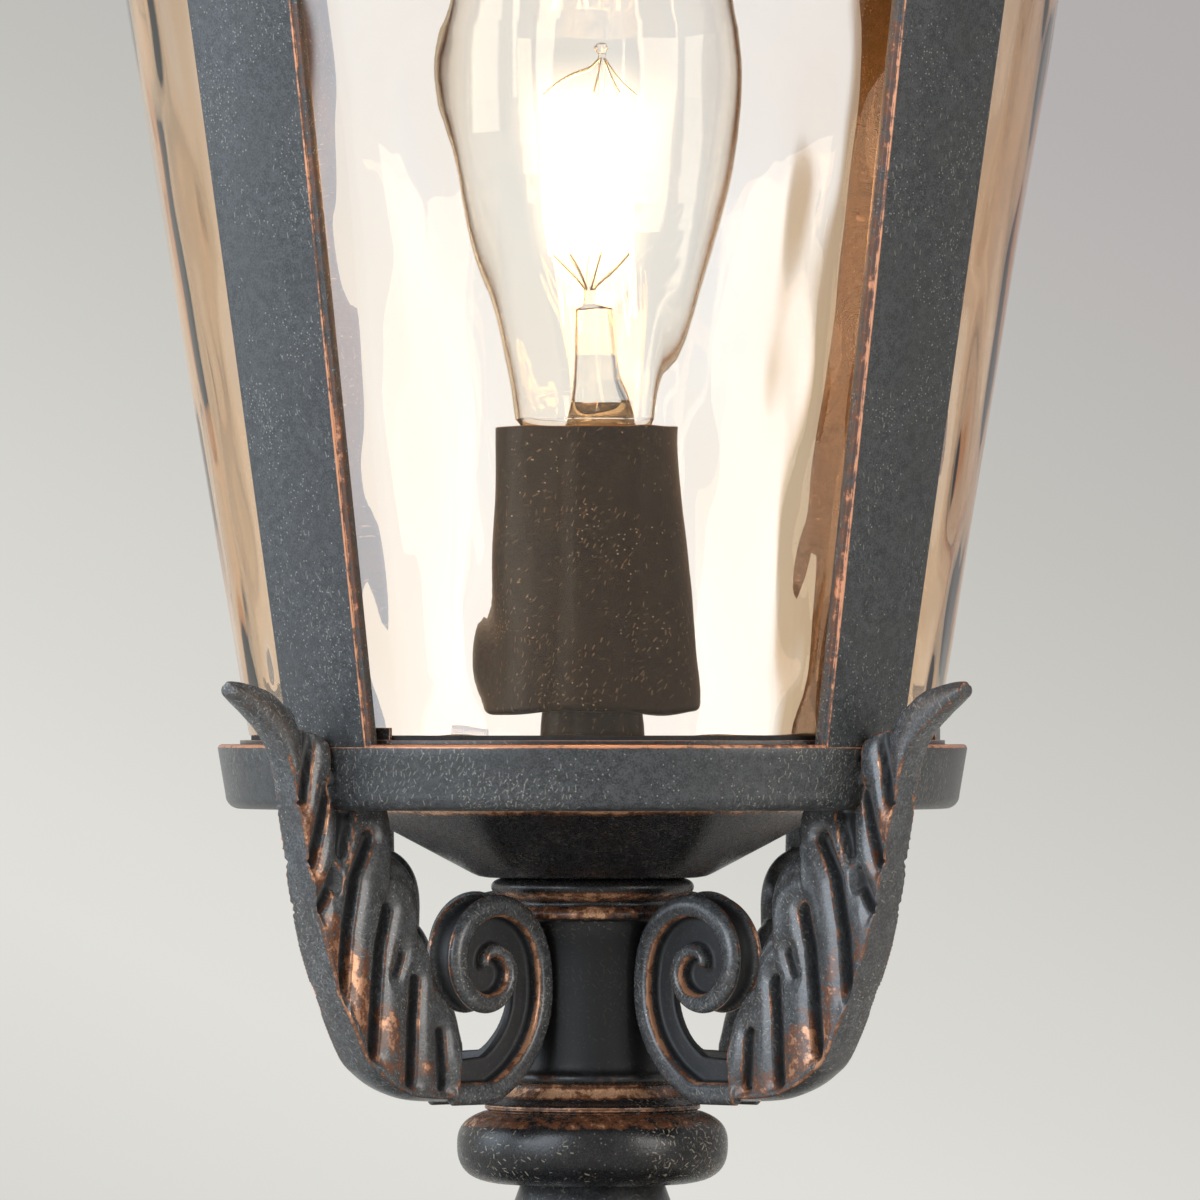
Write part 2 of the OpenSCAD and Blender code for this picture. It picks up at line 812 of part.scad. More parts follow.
// One bracket: leaf and scroll in one casting, drilled for its screw behind the ring
module bracket(turn) {
    color(bronze)
        rotate([0, 0, turn])
            difference() {
                union() {
                    leaf();
                    scroll_rim();
                    scroll_web();
                    translate([eye[0], 0, eye[1]])
                        rotate([90, 0, 0])
                            cylinder(h = scroll_t * 0.96, r = eye_r, center = true);
                }
                translate([ring_r - 2, 0, leaf_screw_z])
                    rotate([0, 90, 0])
                        cylinder(h = leaf_screw_grip + 3, r = screw_r + thread_gap);
            }
}

module leaf_front_right() {
    bracket(-45);
}

module leaf_back_right() {
    bracket(45);
}

module leaf_back_left() {
    bracket(135);
}

module leaf_front_left() {
    bracket(-135);
}

// Screws from inside the ring. Each flat head meets the ring's round wall at its sides
module bracket_screws() {
    head_seat = sqrt(pow(ring_in_r, 2) - pow(head_r, 2)) - thread_gap;
    color(steel)
        for (i = [0:3])
            rotate([0, 0, 45 + 90 * i])
                translate([head_seat, 0, leaf_screw_z])
                    rotate([0, 90, 0])
                        pan_screw(ring_wall + leaf_screw_grip);
}

// Casting of the gallery ring, the four bars and the band above them
module cage() {
    color(bronze)
        difference() {
            union() {
                rotate_extrude()
                    polygon(concat(
                        [[tube_hole_r, z_ring]],
                        arc([ring_r - ring_taper - ring_corner, z_ring + ring_corner],
                            ring_corner, -90, 0, 5),
                        [[ring_r, z_tray - 0.6], [ring_r - 0.5, z_tray], [ring_in_r, z_tray],
                            [ring_in_r, z_ring + floor_t], [tube_hole_r, z_ring + floor_t]]
                    ));
                for (i = [0:3])
                    rotate([0, 0, 45 + 90 * i]) {
                        bar(bar_angle, edge_step, bar_t);
                        bar(bar_angle - 2 * edge_angle, 0, bar_t - edge_step);
                    }
                rotate_extrude()
                    polygon([
                        [cage_r(z_band) - band_wall, z_band], [cage_r(z_band) + band_lip, z_band],
                        [cage_r(z_roof) + band_lip, z_roof], [cage_r(z_roof) - band_wall, z_roof]
                    ]);
                for (i = [0:1])
                    rotate([0, 0, 180 * i])
                        translate([cage_r(z_bridge_lug) - band_wall - lug_reach, -bridge_w / 2,
                            z_bridge_lug])
                            cube([lug_reach + 2, bridge_w, lug_h]);
            }
            for (i = [0:1])
                rotate([0, 0, 180 * i])
                    translate([bridge_screw_x, 0, z_bridge_lug - 1])
                        cylinder(h = lug_h + 2, r = screw_r + thread_gap);
            for (i = [0:3])
                rotate([0, 0, 45 + 90 * i])
                    translate([ring_in_r - 1, 0, leaf_screw_z])
                        rotate([0, 90, 0])
                            cylinder(h = ring_wall + 2, r = screw_r + slide);
        }
}

// One slanted bar of the cage, between two depths from the cage's outside
module bar(angle, front, back) {
    low = z_tray - bar_root;
    high = z_band + bar_root;
    rotate([0, 0, -angle / 2])
        rotate_extrude(angle = angle)
            polygon([
                [cage_r(low) - back, low], [cage_r(low) - front, low],
                [cage_r(high) - front, high], [cage_r(high) - back, high]
            ]);
}

module glass_tray() {
    tray_r = ring_r - bar_t - tray_gap;
    tab_in_r = glass_r + cage_flare * tab_h + seat;
    color(bronze)
        union() {
            translate([0, 0, z_tray])
                ring(tray_r, tube_hole_r, tray_t);
            for (i = [0:tab_n - 1])
                rotate([0, 0, tab_turn + 360 * i / tab_n - tab_angle / 2])
                    rotate_extrude(angle = tab_angle)
                        translate([tab_in_r, z_tray + tray_t / 2])
                            square([tab_t, tab_h + tray_t / 2]);
        }
}

module glass_gasket() {
    color(rubber_tone)
        translate([0, 0, z_pipe])
            ring(glass_r + 0.1, glass_r - glass_t - 0.6, gasket_t);
}

module glass() {
    top_r = glass_r + cage_flare * glass_h;
    color(clear)
        rotate_extrude()
            polygon(concat(
                [[glass_r - glass_t, z_glass], [glass_r, z_glass]],
                arc([top_r - glass_t / 2, z_glass_top - glass_t / 2], glass_t / 2, 0, 180, 6)
            ));
}

module holder_pipe() {
    color(dark_bronze)
        translate([0, 0, z_pipe])
            ring(pipe_r, tube_hole_r, pipe_h);
}

module holder_cup() {
    edge = 1.2;
    color(dark_bronze)
        rotate_extrude()
            polygon(concat(
                [[tube_hole_r, z_cover]],
                arc([cover_r - edge, z_cover + edge], edge, -90, 0, 4),
                curve([cover_r - 0.1, z_cover + 4], [cover_r - 0.6, z_cover + 14],
                    [cover_mouth_r + 0.9, z_cover + 26], [cover_mouth_r, z_mouth], 6),
                [[cover_mouth_r - cover_wall, z_mouth],
                    [cover_mouth_r - cover_wall, z_cover + 16],
                    [cover_r - cover_wall - 1, z_cover + cover_floor],
                    [tube_hole_r, z_cover + cover_floor]]
            ));
}

module holder_nut() {
    color(steel)
        translate([0, 0, z_cover + cover_floor])
            nut(tube_nut_r, tube_nut_h, tube_hole_r);
}

module holder_body() {
    color(porcelain)
        rotate_extrude()
            polygon([
                [tube_hole_r, z_holder], [body_neck_r, z_holder],
                [body_neck_r, z_holder + body_neck_h], [body_r - 1, z_holder + body_neck_h],
                [body_r, z_holder + body_neck_h + 1], [body_r, z_mouth - body_sink],
                [shell_r + thread_gap, z_mouth - body_sink], [shell_r + thread_gap, z_shell],
                [contact_pin_r + thread_gap, z_shell], [contact_pin_r + thread_gap, z_floor],
                [chamber_r, z_floor], [chamber_r, z_chamber], [tube_hole_r, z_chamber]
            ]);
}

module holder_shell() {
    rim_drop = 1.5;
    color(brass_tone)
        rotate_extrude()
            polygon([
                [7, z_shell], [shell_r, z_shell], [shell_r, z_mouth - body_sink - rim_drop],
                [shell_in_r, z_mouth - body_sink - rim_drop], [shell_in_r, z_shell + shell_t],
                [7, z_shell + shell_t]
            ]);
}

module holder_contact() {
    color(brass_tone)
        rotate_extrude()
            polygon([
                [0, z_floor - 1], [contact_pin_r, z_floor - 1], [contact_pin_r, z_shell],
                [contact_r + 1, z_shell], [contact_r + 1, z_shell + 0.8],
                [contact_r - 1, z_shell + 1.4], [contact_r, z_shell + contact_h - 0.8],
                [contact_r - 0.8, z_shell + contact_h], [0, z_shell + contact_h]
            ]);
}

module wire_live() {
    color("#7a4a2c")
        swept(live_route, wire_r);
}

module wire_neutral() {
    color("#2f5fa8")
        swept(neutral_route, wire_r);
}

module wire_earth() {
    color("#6f9a3a")
        swept(earth_route, wire_r);
}

module top_bridge() {
    color(steel)
        difference() {
            intersection() {
                translate([-bridge_r, -bridge_w / 2, z_bridge])
                    cube([2 * bridge_r, bridge_w, bridge_t]);
                translate([0, 0, z_bridge])
                    cylinder(h = bridge_t, r = bridge_r);
            }
            translate([0, 0, z_bridge - 1])
                cylinder(h = bridge_t + 2, r = rod_r + slide);
            for (i = [-1, 1])
                translate([i * bridge_screw_x, 0, z_bridge - 1])
                    cylinder(h = bridge_t + 2, r = screw_r + slide);
        }
}

module bridge_screws() {
    color(steel)
        for (i = [-1, 1])
            translate([i * bridge_screw_x, 0, z_bridge + bridge_t])
                mirror([0, 0, 1])
                    pan_screw(bridge_t + lug_h);
}

module roof_rod() {
    low = z_bridge - rod_nut_h - rod_tail;
    color(steel)
        translate([0, 0, low])
            cylinder(h = z_finial + rod_grip - low, r = rod_r);
}

module rod_nuts() {
    color(steel)
        for (z = [z_bridge - rod_nut_h, z_bridge + bridge_t])
            translate([0, 0, z])
                nut(rod_nut_r, rod_nut_h, rod_r + thread_gap);
}

module bulb_tip() {
    color(rubber_tone)
        rotate_extrude()
            polygon([
                [0, z_tip], [tip_r - 1, z_tip], [tip_r, z_tip + tip_h],
                [tip_r + 1, z_tip + tip_h], [cone_r, z_tip + tip_h + cone_h],
                [0, z_tip + tip_h + cone_h]
            ]);
}

module bulb_cap() {
    color(steel)
        rotate_extrude()
            polygon([
                [cone_r - 0.6, z_cap], [cone_r, z_cap], [cap_r, z_cap + 2.4],
                [cap_r, z_bulb - 1], [cap_r - 0.2, z_bulb], [cap_r - cap_wall, z_bulb],
                [cap_r - cap_wall, z_cap + 2.6], [cone_r - 0.6, z_cap + 0.4]
            ]);
}

// Outline of the lamp's glass, drawn in by an even wall
function bulb_outline(wall) = concat(
    [[bulb_root_r - wall, z_bulb - bulb_root_h], [bulb_root_r - wall, z_bulb]],
    curve([bulb_neck_r - wall, z_bulb + 2.5], [bulb_neck_r + 4 - wall, z_bulb + 24],
        [bulb_r - wall, z_bulb + 50], [bulb_r - wall, z_bulb + bulb_h - 37], 12),
    curve([bulb_r - wall, z_bulb + bulb_h - 34], [bulb_r - wall, z_bulb + bulb_h - 12],
        [bulb_r * 0.6, z_bulb + bulb_h - wall], [0, z_bulb + bulb_h - wall], 10)
);

module bulb_envelope() {
    inside = bulb_outline(bulb_t);
    color(clear)
        rotate_extrude()
            polygon(concat(
                bulb_outline(0),
                [for (i = [len(inside) - 1:-1:0]) inside[i]]
            ));
}

module bulb_stem() {
    z_low = z_bulb - bulb_root_h + 1;
    color(clear)
        rotate_extrude($fn = 32)
            polygon(concat(
                [[0, z_low + 2], [stem_r - 1, z_low], [stem_r, z_low]],
                curve([stem_r, z_low + 1], [stem_neck_r + 2, z_low + 6],
                    [stem_neck_r, z_low + 14], [stem_neck_r, z_pinch - 4], 6),
                [[stem_neck_r, z_pinch - 1], [post_r, z_pinch], [post_r, z_post - 1],
                    [post_r + 0.8, z_post], [post_r, z_post + 1], [0, z_post + 1.2]]
            ));
}

function leg_point(i) =
    let (
        a = 360 * (i + 0.5) / filament_legs + 90,
        high = i % 2 == 0
    )
        high
            ? [filament_r_high * cos(a), filament_r_high * sin(a), filament_high]
            : [filament_r_low * cos(a), filament_r_low * sin(a), filament_low];

// Supports: straight wires that stand out from the glass post to both ends of the filament
module bulb_leads() {
    color(steel)
        for (i = [0:filament_legs - 1]) {
            p = leg_point(i);
            way = [p[0], p[1]] / norm([p[0], p[1]]);
            foot_z = i % 2 == 0 ? z_post - 2 : z_pinch + 3;
            near = way * (post_r - 0.3);
            far = way * (norm([p[0], p[1]]) - filament_wire - lead_gap);
            rod([near[0], near[1], foot_z], [far[0], far[1], p[2]], lead_wire / 2);
        }
}

module bulb_filament() {
    route = [for (i = [0:filament_legs - 1]) leg_point(i)];
    color("#ffb45a")
        swept(route, filament_wire, 4, 6);
}

// Outline of the roof's outside from the skirt up to the neck
function roof_outside() = concat(
    [[skirt_r + skirt_wall, z_brim - skirt_h], [skirt_r + skirt_wall, z_brim]],
    [[brim_r - 2, z_brim], [brim_r - 0.6, z_brim + 0.8]],
    arc([brim_r - brim_h / 2, z_brim + brim_h / 2], brim_h / 2, -20, 90, 6),
    [[brim_r - brim_h, z_brim + brim_h]],
    curve([brim_r - brim_h - 1, z_brim + brim_h + 0.5], [brim_r - 13, z_brim + brim_h + 1],
        [brim_r - 15, z_brim + brim_h + 2], [brim_r - 16, z_brim + brim_h + 6], 5),
    [[brim_r - 18.5, z_brim + brim_h + 6.4], [brim_r - 18.5, z_brim + brim_h + 8]],
    curve([brim_r - 20, z_brim + brim_h + 9], [brim_r - 26, z_brim + roof_h * 0.58],
        [brim_r * 0.56, z_brim + roof_h * 0.58], [brim_r * 0.44, z_brim + roof_h * 0.7], 10),
    curve([brim_r * 0.42, z_brim + roof_h * 0.72], [brim_r * 0.32, z_brim + roof_h * 0.8],
        [vent_r + 4, z_neck - 10], [vent_r + 2, z_neck - 2], 8),
    [[vent_r + 2, z_neck]]
);

// Outline of the space inside the roof
function roof_inside() =
    let (inner_r = brim_r - 18.5 - roof_wall)
        concat(
            [[0, z_brim - skirt_h - 1], [skirt_r, z_brim - skirt_h - 1], [skirt_r, z_brim],
                [inner_r, z_brim], [inner_r, z_brim + brim_h + 6]],
            curve([inner_r - 1.5, z_brim + brim_h + 8],
                [brim_r - 26 - roof_wall, z_brim + roof_h * 0.58 - roof_wall],
                [brim_r * 0.55, z_brim + roof_h * 0.57 - roof_wall],
                [brim_r * 0.43 - roof_wall * 0.5, z_brim + roof_h * 0.7 - roof_wall], 9),
            curve([brim_r * 0.41 - roof_wall * 0.5, z_brim + roof_h * 0.72 - roof_wall],
                [brim_r * 0.31 - roof_wall * 0.5, z_brim + roof_h * 0.79 - roof_wall],
                [vent_r + 3 - roof_wall, z_neck - 12],
                [vent_r + 1 - roof_wall, z_neck - roof_wall - 2], 7),
            [[vent_r + 1 - roof_wall, z_neck - roof_wall], [0, z_neck - roof_wall]]
        );

// Solid that the roof's outline encloses
module roof_solid() {
    rotate_extrude()
        polygon(concat([[0, z_brim - skirt_h]], roof_outside(), [[0, z_neck]]));
}

// Roof with three bosses inside for the heat shield
module roof_dome() {
    color(bronze)
        difference() {
            union() {
                difference() {
                    roof_solid();
                    rotate_extrude()
                        polygon(roof_inside());
                    translate([0, 0, z_neck - roof_wall - 1])
                        cylinder(h = roof_wall + 2, r = rod_hole_r);
                }
                intersection() {
                    roof_solid();
                    for (i = [0:boss_n - 1])
                        rotate([0, 0, 360 * i / boss_n])
                            translate([boss_pcd / 2, 0, shield_z + shield_t])
                                cylinder(h = roof_h, r = boss_r);
                }
            }
            for (i = [0:boss_n - 1])
                rotate([0, 0, 360 * i / boss_n])
                    translate([boss_pcd / 2, 0, shield_z])
                        cylinder(h = shield_t + shield_grip + 1, r = screw_r + thread_gap);
        }
}

module roof_collar() {
    lip = 3;
    color(bronze)
        difference() {
            rotate_extrude()
                polygon(concat(
                    [[0, z_neck]],
                    arc([vent_r + 2.5, z_neck + 2], 2, -90, 90, 6),
                    [[vent_r - 1, z_neck + 4.5]],
                    curve([vent_r - 2, z_neck + 6], [vent_r - 5, z_neck + 9],
                        [vent_r - 5, z_neck + neck_h - 8], [vent_r - 1, z_neck + neck_h - 5], 6),
                    arc([vent_r, z_neck + neck_h - lip], 1.6, -70, 60, 5),
                    [[vent_r - 6, z_neck + neck_h - 0.8], [12, z_neck + neck_h],
                        [0, z_neck + neck_h]]
                ));
            translate([0, 0, z_neck - 1])
                cylinder(h = neck_h + 2, r = rod_hole_r);
        }
}

module heat_shield() {
    color(steel)
        translate([0, 0, shield_z])
            difference() {
                ring(shield_r, rod_nut_r + 2, shield_t);
                for (i = [0:boss_n - 1])
                    rotate([0, 0, 360 * i / boss_n])
                        translate([boss_pcd / 2, 0, -1])
                            cylinder(h = shield_t + 2, r = screw_r + slide);
            }
}

module shield_screws() {
    color(steel)
        for (i = [0:boss_n - 1])
            rotate([0, 0, 360 * i / boss_n])
                translate([boss_pcd / 2, 0, shield_z])
                    pan_screw(shield_t + shield_grip);
}

module finial_washer() {
    color(steel)
        translate([0, 0, z_washer])
            ring(cap_washer_r, rod_hole_r, cap_washer_t);
}

module finial() {
    foot_r = 10;
    ball_z = z_finial + finial_h * 0.52;
    color(bronze)
        rotate_extrude()
            polygon(concat(
                [[rod_hole_r, z_finial], [foot_r - 0.5, z_finial], [foot_r, z_finial + 0.6],
                    [foot_r, z_finial + 3]],
                curve([foot_r - 2, z_finial + 4.4], [4.6, z_finial + 7], [4.6, z_finial + 10],
                    [6.4, z_finial + 12.5], 6),
                arc([6.6, z_finial + 14.5], 2, -80, 80, 5),
                [[6, z_finial + 17.4]],
                curve([6.2, z_finial + 18], [finial_r + 4, z_finial + 24],
                    [finial_r + 3, ball_z + 3], [7, ball_z + finial_h * 0.17], 10),
                curve([6, ball_z + finial_h * 0.19], [5.2, ball_z + finial_h * 0.3],
                    [3, z_finial + finial_h - 4], [0, z_finial + finial_h], 8),
                [[0, z_finial + rod_grip + 2], [rod_hole_r, z_finial + rod_grip + 1]]
            ));
}

base_foot();
base_gasket();
mounting_plate();
side_screws();
cable_grommet();
terminal_block();
terminal_screws();
earth_screw();
foot_washer();
foot_nut();
stem_torus();
stem_column();
bottom_cup();
centre_tube();
ring_nut();
leaf_front_right();
leaf_back_right();
leaf_back_left();
leaf_front_left();
bracket_screws();
cage();
glass_tray();
glass_gasket();
glass();
holder_pipe();
holder_cup();
holder_nut();
holder_body();
holder_shell();
holder_contact();
wire_live();
wire_neutral();
wire_earth();
top_bridge();
bridge_screws();
roof_rod();
rod_nuts();
bulb_tip();
bulb_cap();
bulb_envelope();
bulb_stem();
bulb_leads();
bulb_filament();
roof_dome();
roof_collar();
heat_shield();
shield_screws();
finial_washer();
finial();
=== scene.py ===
import json
import math

import bmesh
import bpy
from mathutils import Matrix, Vector, kdtree, noise


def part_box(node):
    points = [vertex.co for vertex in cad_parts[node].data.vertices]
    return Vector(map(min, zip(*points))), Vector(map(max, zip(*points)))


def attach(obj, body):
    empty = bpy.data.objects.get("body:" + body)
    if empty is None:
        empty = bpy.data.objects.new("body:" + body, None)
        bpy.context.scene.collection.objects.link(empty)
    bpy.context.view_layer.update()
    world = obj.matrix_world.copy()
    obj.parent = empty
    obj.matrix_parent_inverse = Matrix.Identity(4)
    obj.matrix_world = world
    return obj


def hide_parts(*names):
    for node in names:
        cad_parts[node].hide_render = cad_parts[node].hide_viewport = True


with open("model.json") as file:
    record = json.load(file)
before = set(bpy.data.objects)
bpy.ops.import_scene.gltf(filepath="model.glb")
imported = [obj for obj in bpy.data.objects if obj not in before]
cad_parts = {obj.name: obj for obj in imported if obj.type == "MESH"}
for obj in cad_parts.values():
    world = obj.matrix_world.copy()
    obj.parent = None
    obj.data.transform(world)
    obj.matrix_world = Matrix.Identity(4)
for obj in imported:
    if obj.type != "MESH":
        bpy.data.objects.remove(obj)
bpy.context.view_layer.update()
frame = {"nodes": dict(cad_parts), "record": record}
mm = 0.001
scene = bpy.context.scene
scene.view_settings.view_transform = "Standard"


def low(node):
    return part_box(node)[0].z / mm


def high(node):
    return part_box(node)[1].z / mm


# Heights of the stack in millimetres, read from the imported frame
zTorus = low("stem_torus")
zColumn = low("stem_column")
zCup = low("bottom_cup")
zRing = low("cage")
zTray = low("glass_tray")
zGlass = low("glass")
zRoof = high("cage")
zBulb = high("bulb_cap")

# Radii in millimetres, and how far the cage widens for each millimetre of height
ringRadius = 80.0
waistRadius = 15.5
tubeHole = 5.1
cageFlare = 0.168


def cageRadius(z):
    return ringRadius + cageFlare * (z - zTray)


# Camera, its eye a little above the top of the gallery ring as in the photograph
cameraView = {
    "distance": 2.15,
    "eyeHeight": 0.171,
    "aimHeight": 0.199,
    "aimSide": 0.0016,
    "azimuth": -0.7,
    "frameWidth": 0.2562,  # metres seen across the frame at the lantern's axis
    "farthest": 60,
}


def makeCamera(view):
    data = bpy.data.cameras.new("photoCamera")
    camera = bpy.data.objects.new("photoCamera", data)
    scene.collection.objects.link(camera)
    turn = math.radians(view["azimuth"])
    eye = Vector((math.sin(turn), -math.cos(turn), 0)) * view["distance"]
    eye.z = view["eyeHeight"]
    aim = Vector((view["aimSide"], 0, view["aimHeight"]))
    camera.location = eye
    camera.rotation_mode = "QUATERNION"
    camera.rotation_quaternion = (aim - eye).to_track_quat("-Z", "Y")
    data.lens = data.sensor_width * view["distance"] / view["frameWidth"]
    data.clip_end = view["farthest"]
    scene.camera = camera


makeCamera(cameraView)
print("camera is up")


# Small helpers for node trees
def paint(red, green, blue):
    def toLinear(value):
        share = value / 255
        return share / 12.92 if share <= 0.04045 else ((share + 0.055) / 1.055) ** 2.4
    return (toLinear(red), toLinear(green), toLinear(blue), 1)


def feed(tree, socket, value):
    if isinstance(value, bpy.types.NodeSocket):
        tree.links.new(value, socket)
    else:
        socket.default_value = value


def addNode(tree, kind, inputs=None, **settings):
    item = tree.nodes.new("ShaderNode" + kind)
    for key, value in settings.items():
        setattr(item, key, value)
    for key, value in (inputs or {}).items():
        feed(tree, item.inputs[key], value)
    return item


def math2(tree, operation, a, b=0.0):
    return addNode(tree, "Math", {0: a, 1: b}, operation=operation).outputs[0]


def times(tree, a, b):
    return math2(tree, "MULTIPLY", a, b)


def vectorMath(tree, operation, a, b=(0, 0, 0)):
    item = addNode(tree, "VectorMath", {0: a, 1: b}, operation=operation)
    return item.outputs["Value" if operation in ("DOT_PRODUCT", "DISTANCE") else "Vector"]


def scaledVector(tree, vector, scale):
    return addNode(tree, "VectorMath", {0: vector, "Scale": scale}, operation="SCALE").outputs["Vector"]


def blend(tree, share, a, b):
    item = addNode(tree, "Mix", data_type="RGBA")
    for place, value in ((0, share), (6, a), (7, b)):
        feed(tree, item.inputs[place], value)
    return item.outputs[2]


def remap(tree, value, fromLow, fromHigh, toLow=0.0, toHigh=1.0):
    item = addNode(tree, "MapRange", {0: value, 1: fromLow, 2: fromHigh, 3: toLow, 4: toHigh},
                   interpolation_type="SMOOTHSTEP")
    return item.outputs[0]


def remapLinear(tree, value, fromLow, fromHigh):
    return addNode(tree, "MapRange", {0: value, 1: fromLow, 2: fromHigh}).outputs[0]


def attribute(tree, name):
    return addNode(tree, "Attribute", attribute_name=name).outputs["Fac"]


def noiseOf(tree, place, scale, **settings):
    inputs = {"Vector": place, "Scale": scale}
    inputs.update({key.title(): value for key, value in settings.items()})
    return addNode(tree, "TexNoise", inputs).outputs["Fac"]


def newGroup(name, inputs, outputs):
    tree = bpy.data.node_groups.new(name, "ShaderNodeTree")
    for label, kind, value in inputs:
        socket = tree.interface.new_socket(label, in_out="INPUT", socket_type="NodeSocket" + kind)
        if value is not None:
            socket.default_value = value
    for label, kind in outputs:
        tree.interface.new_socket(label, in_out="OUTPUT", socket_type="NodeSocket" + kind)
    return tree, tree.nodes.new("NodeGroupInput").outputs, tree.nodes.new("NodeGroupOutput").inputs


def useGroup(tree, name, inputs):
    return addNode(tree, "Group", inputs, node_tree=bpy.data.node_groups[name]).outputs


# castGrain: fine grain of a sand casting over slow clouds of tone
def makeCastGrain():
    tree, given, out = newGroup(
        "castGrain",
        [("Vector", "Vector", None), ("Grain", "Float", 1500.0), ("Clouds", "Float", 60.0)],
        [("Height", "Float"), ("Tone", "Float"), ("Cloud", "Float")])
    fine = noiseOf(tree, given["Vector"], given["Grain"], detail=3.0, roughness=0.65)
    mid = noiseOf(tree, given["Vector"], times(tree, given["Grain"], 0.22), detail=2.0)
    slow = noiseOf(tree, given["Vector"], given["Clouds"], detail=4.0, roughness=0.65)
    height = math2(tree, "ADD", times(tree, fine, 0.7), times(tree, mid, 0.3))
    tree.links.new(height, out["Height"])
    tree.links.new(remap(tree, height, 0.4, 0.6), out["Tone"])
    tree.links.new(remap(tree, slow, 0.35, 0.65), out["Cloud"])


# wornStrokes: short pale strokes or dots lying in the surface, gathered in patches
def makeWornStrokes():
    tree, given, out = newGroup(
        "wornStrokes",
        [("Vector", "Vector", None), ("Scale", "Float", 520.0), ("Length", "Float", 0.0009),
         ("Width", "Float", 0.00012), ("Share", "Float", 0.5), ("Patches", "Float", 40.0),
         ("Lean", "Vector", (0, 0, 0))],
        [("Mask", "Float")])
    normal = addNode(tree, "NewGeometry").outputs["Normal"]

    def inSurface(vector):
        rise = scaledVector(tree, normal, vectorMath(tree, "DOT_PRODUCT", vector, normal))
        return vectorMath(tree, "SUBTRACT", vector, rise)

    cells = addNode(tree, "TexVoronoi", {"Vector": given["Vector"], "Scale": given["Scale"]}).outputs
    local = inSurface(vectorMath(tree, "SUBTRACT", given["Vector"], cells["Position"]))
    lean = vectorMath(tree, "SUBTRACT", cells["Color"], (0.5, 0.5, 0.5))
    lean = vectorMath(tree, "ADD", lean, given["Lean"])
    lean = vectorMath(tree, "NORMALIZE", inSurface(lean))
    reach = vectorMath(tree, "DOT_PRODUCT", local, lean)
    aside = vectorMath(tree, "DISTANCE", local, scaledVector(tree, lean, reach))
    thin = remap(tree, math2(tree, "DIVIDE", aside, given["Width"]), 1.4, 0.6)
    short = remap(tree, math2(tree, "DIVIDE", math2(tree, "ABSOLUTE", reach), given["Length"]),
                  1.1, 0.7)
    cloud = noiseOf(tree, given["Vector"], given["Patches"], detail=3.0)
    chance = times(tree, remap(tree, cloud, 0.4, 0.66), given["Share"])
    draw = addNode(tree, "SeparateColor", {0: cells["Color"]}).outputs
    mask = times(tree, times(tree, thin, short), math2(tree, "LESS_THAN", draw[0], chance))
    tree.links.new(times(tree, mask, remap(tree, draw[2], -0.4, 1.0)), out["Mask"])


# rubbedEdge: where the finish is rubbed through, from the piece's own wear and a bevel test
def makeRubbedEdge():
    tree, given, out = newGroup(
        "rubbedEdge",
        [("Vector", "Vector", None), ("Wear", "Float", 0.0), ("Reach", "Float", 0.0004),
         ("Bevel", "Float", 0.0), ("Break", "Float", 0.5)],
        [("Mask", "Float"), ("Bright", "Float")])
    smooth = addNode(tree, "Bevel", {"Radius": given["Reach"]}, samples=4).outputs[0]
    plain = addNode(tree, "NewGeometry").outputs["Normal"]
    dot = vectorMath(tree, "DOT_PRODUCT", smooth, plain)
    bend = remap(tree, math2(tree, "SUBTRACT", 1.0, dot), 0.02, 0.12)
    fine = noiseOf(tree, given["Vector"], 420.0, detail=4.0, roughness=0.7)
    slow = noiseOf(tree, given["Vector"], 48.0, detail=2.0)
    patch = math2(tree, "ADD", times(tree, fine, 0.55), times(tree, slow, 0.45))
    strong = math2(tree, "MAXIMUM", given["Wear"], times(tree, bend, given["Bevel"]))
    lift = times(tree, math2(tree, "SUBTRACT", patch, 0.5), given["Break"])
    level = math2(tree, "ADD", strong, times(tree, lift, 5.0))
    level = times(tree, level, remap(tree, strong, 0.05, 0.35))
    tree.links.new(remap(tree, level, 0.25, 0.6), out["Mask"])
    tree.links.new(remap(tree, level, 0.65, 1.0), out["Bright"])


makeCastGrain()
makeWornStrokes()
makeRubbedEdge()
print("shader groups are built")


def newMaterial(name):
    material = bpy.data.materials.new(name)
    material.use_nodes = True
    tree = material.node_tree
    return material, tree, tree.nodes["Principled BSDF"]


def objectCoordinates(tree):
    return addNode(tree, "TexCoord").outputs["Object"]


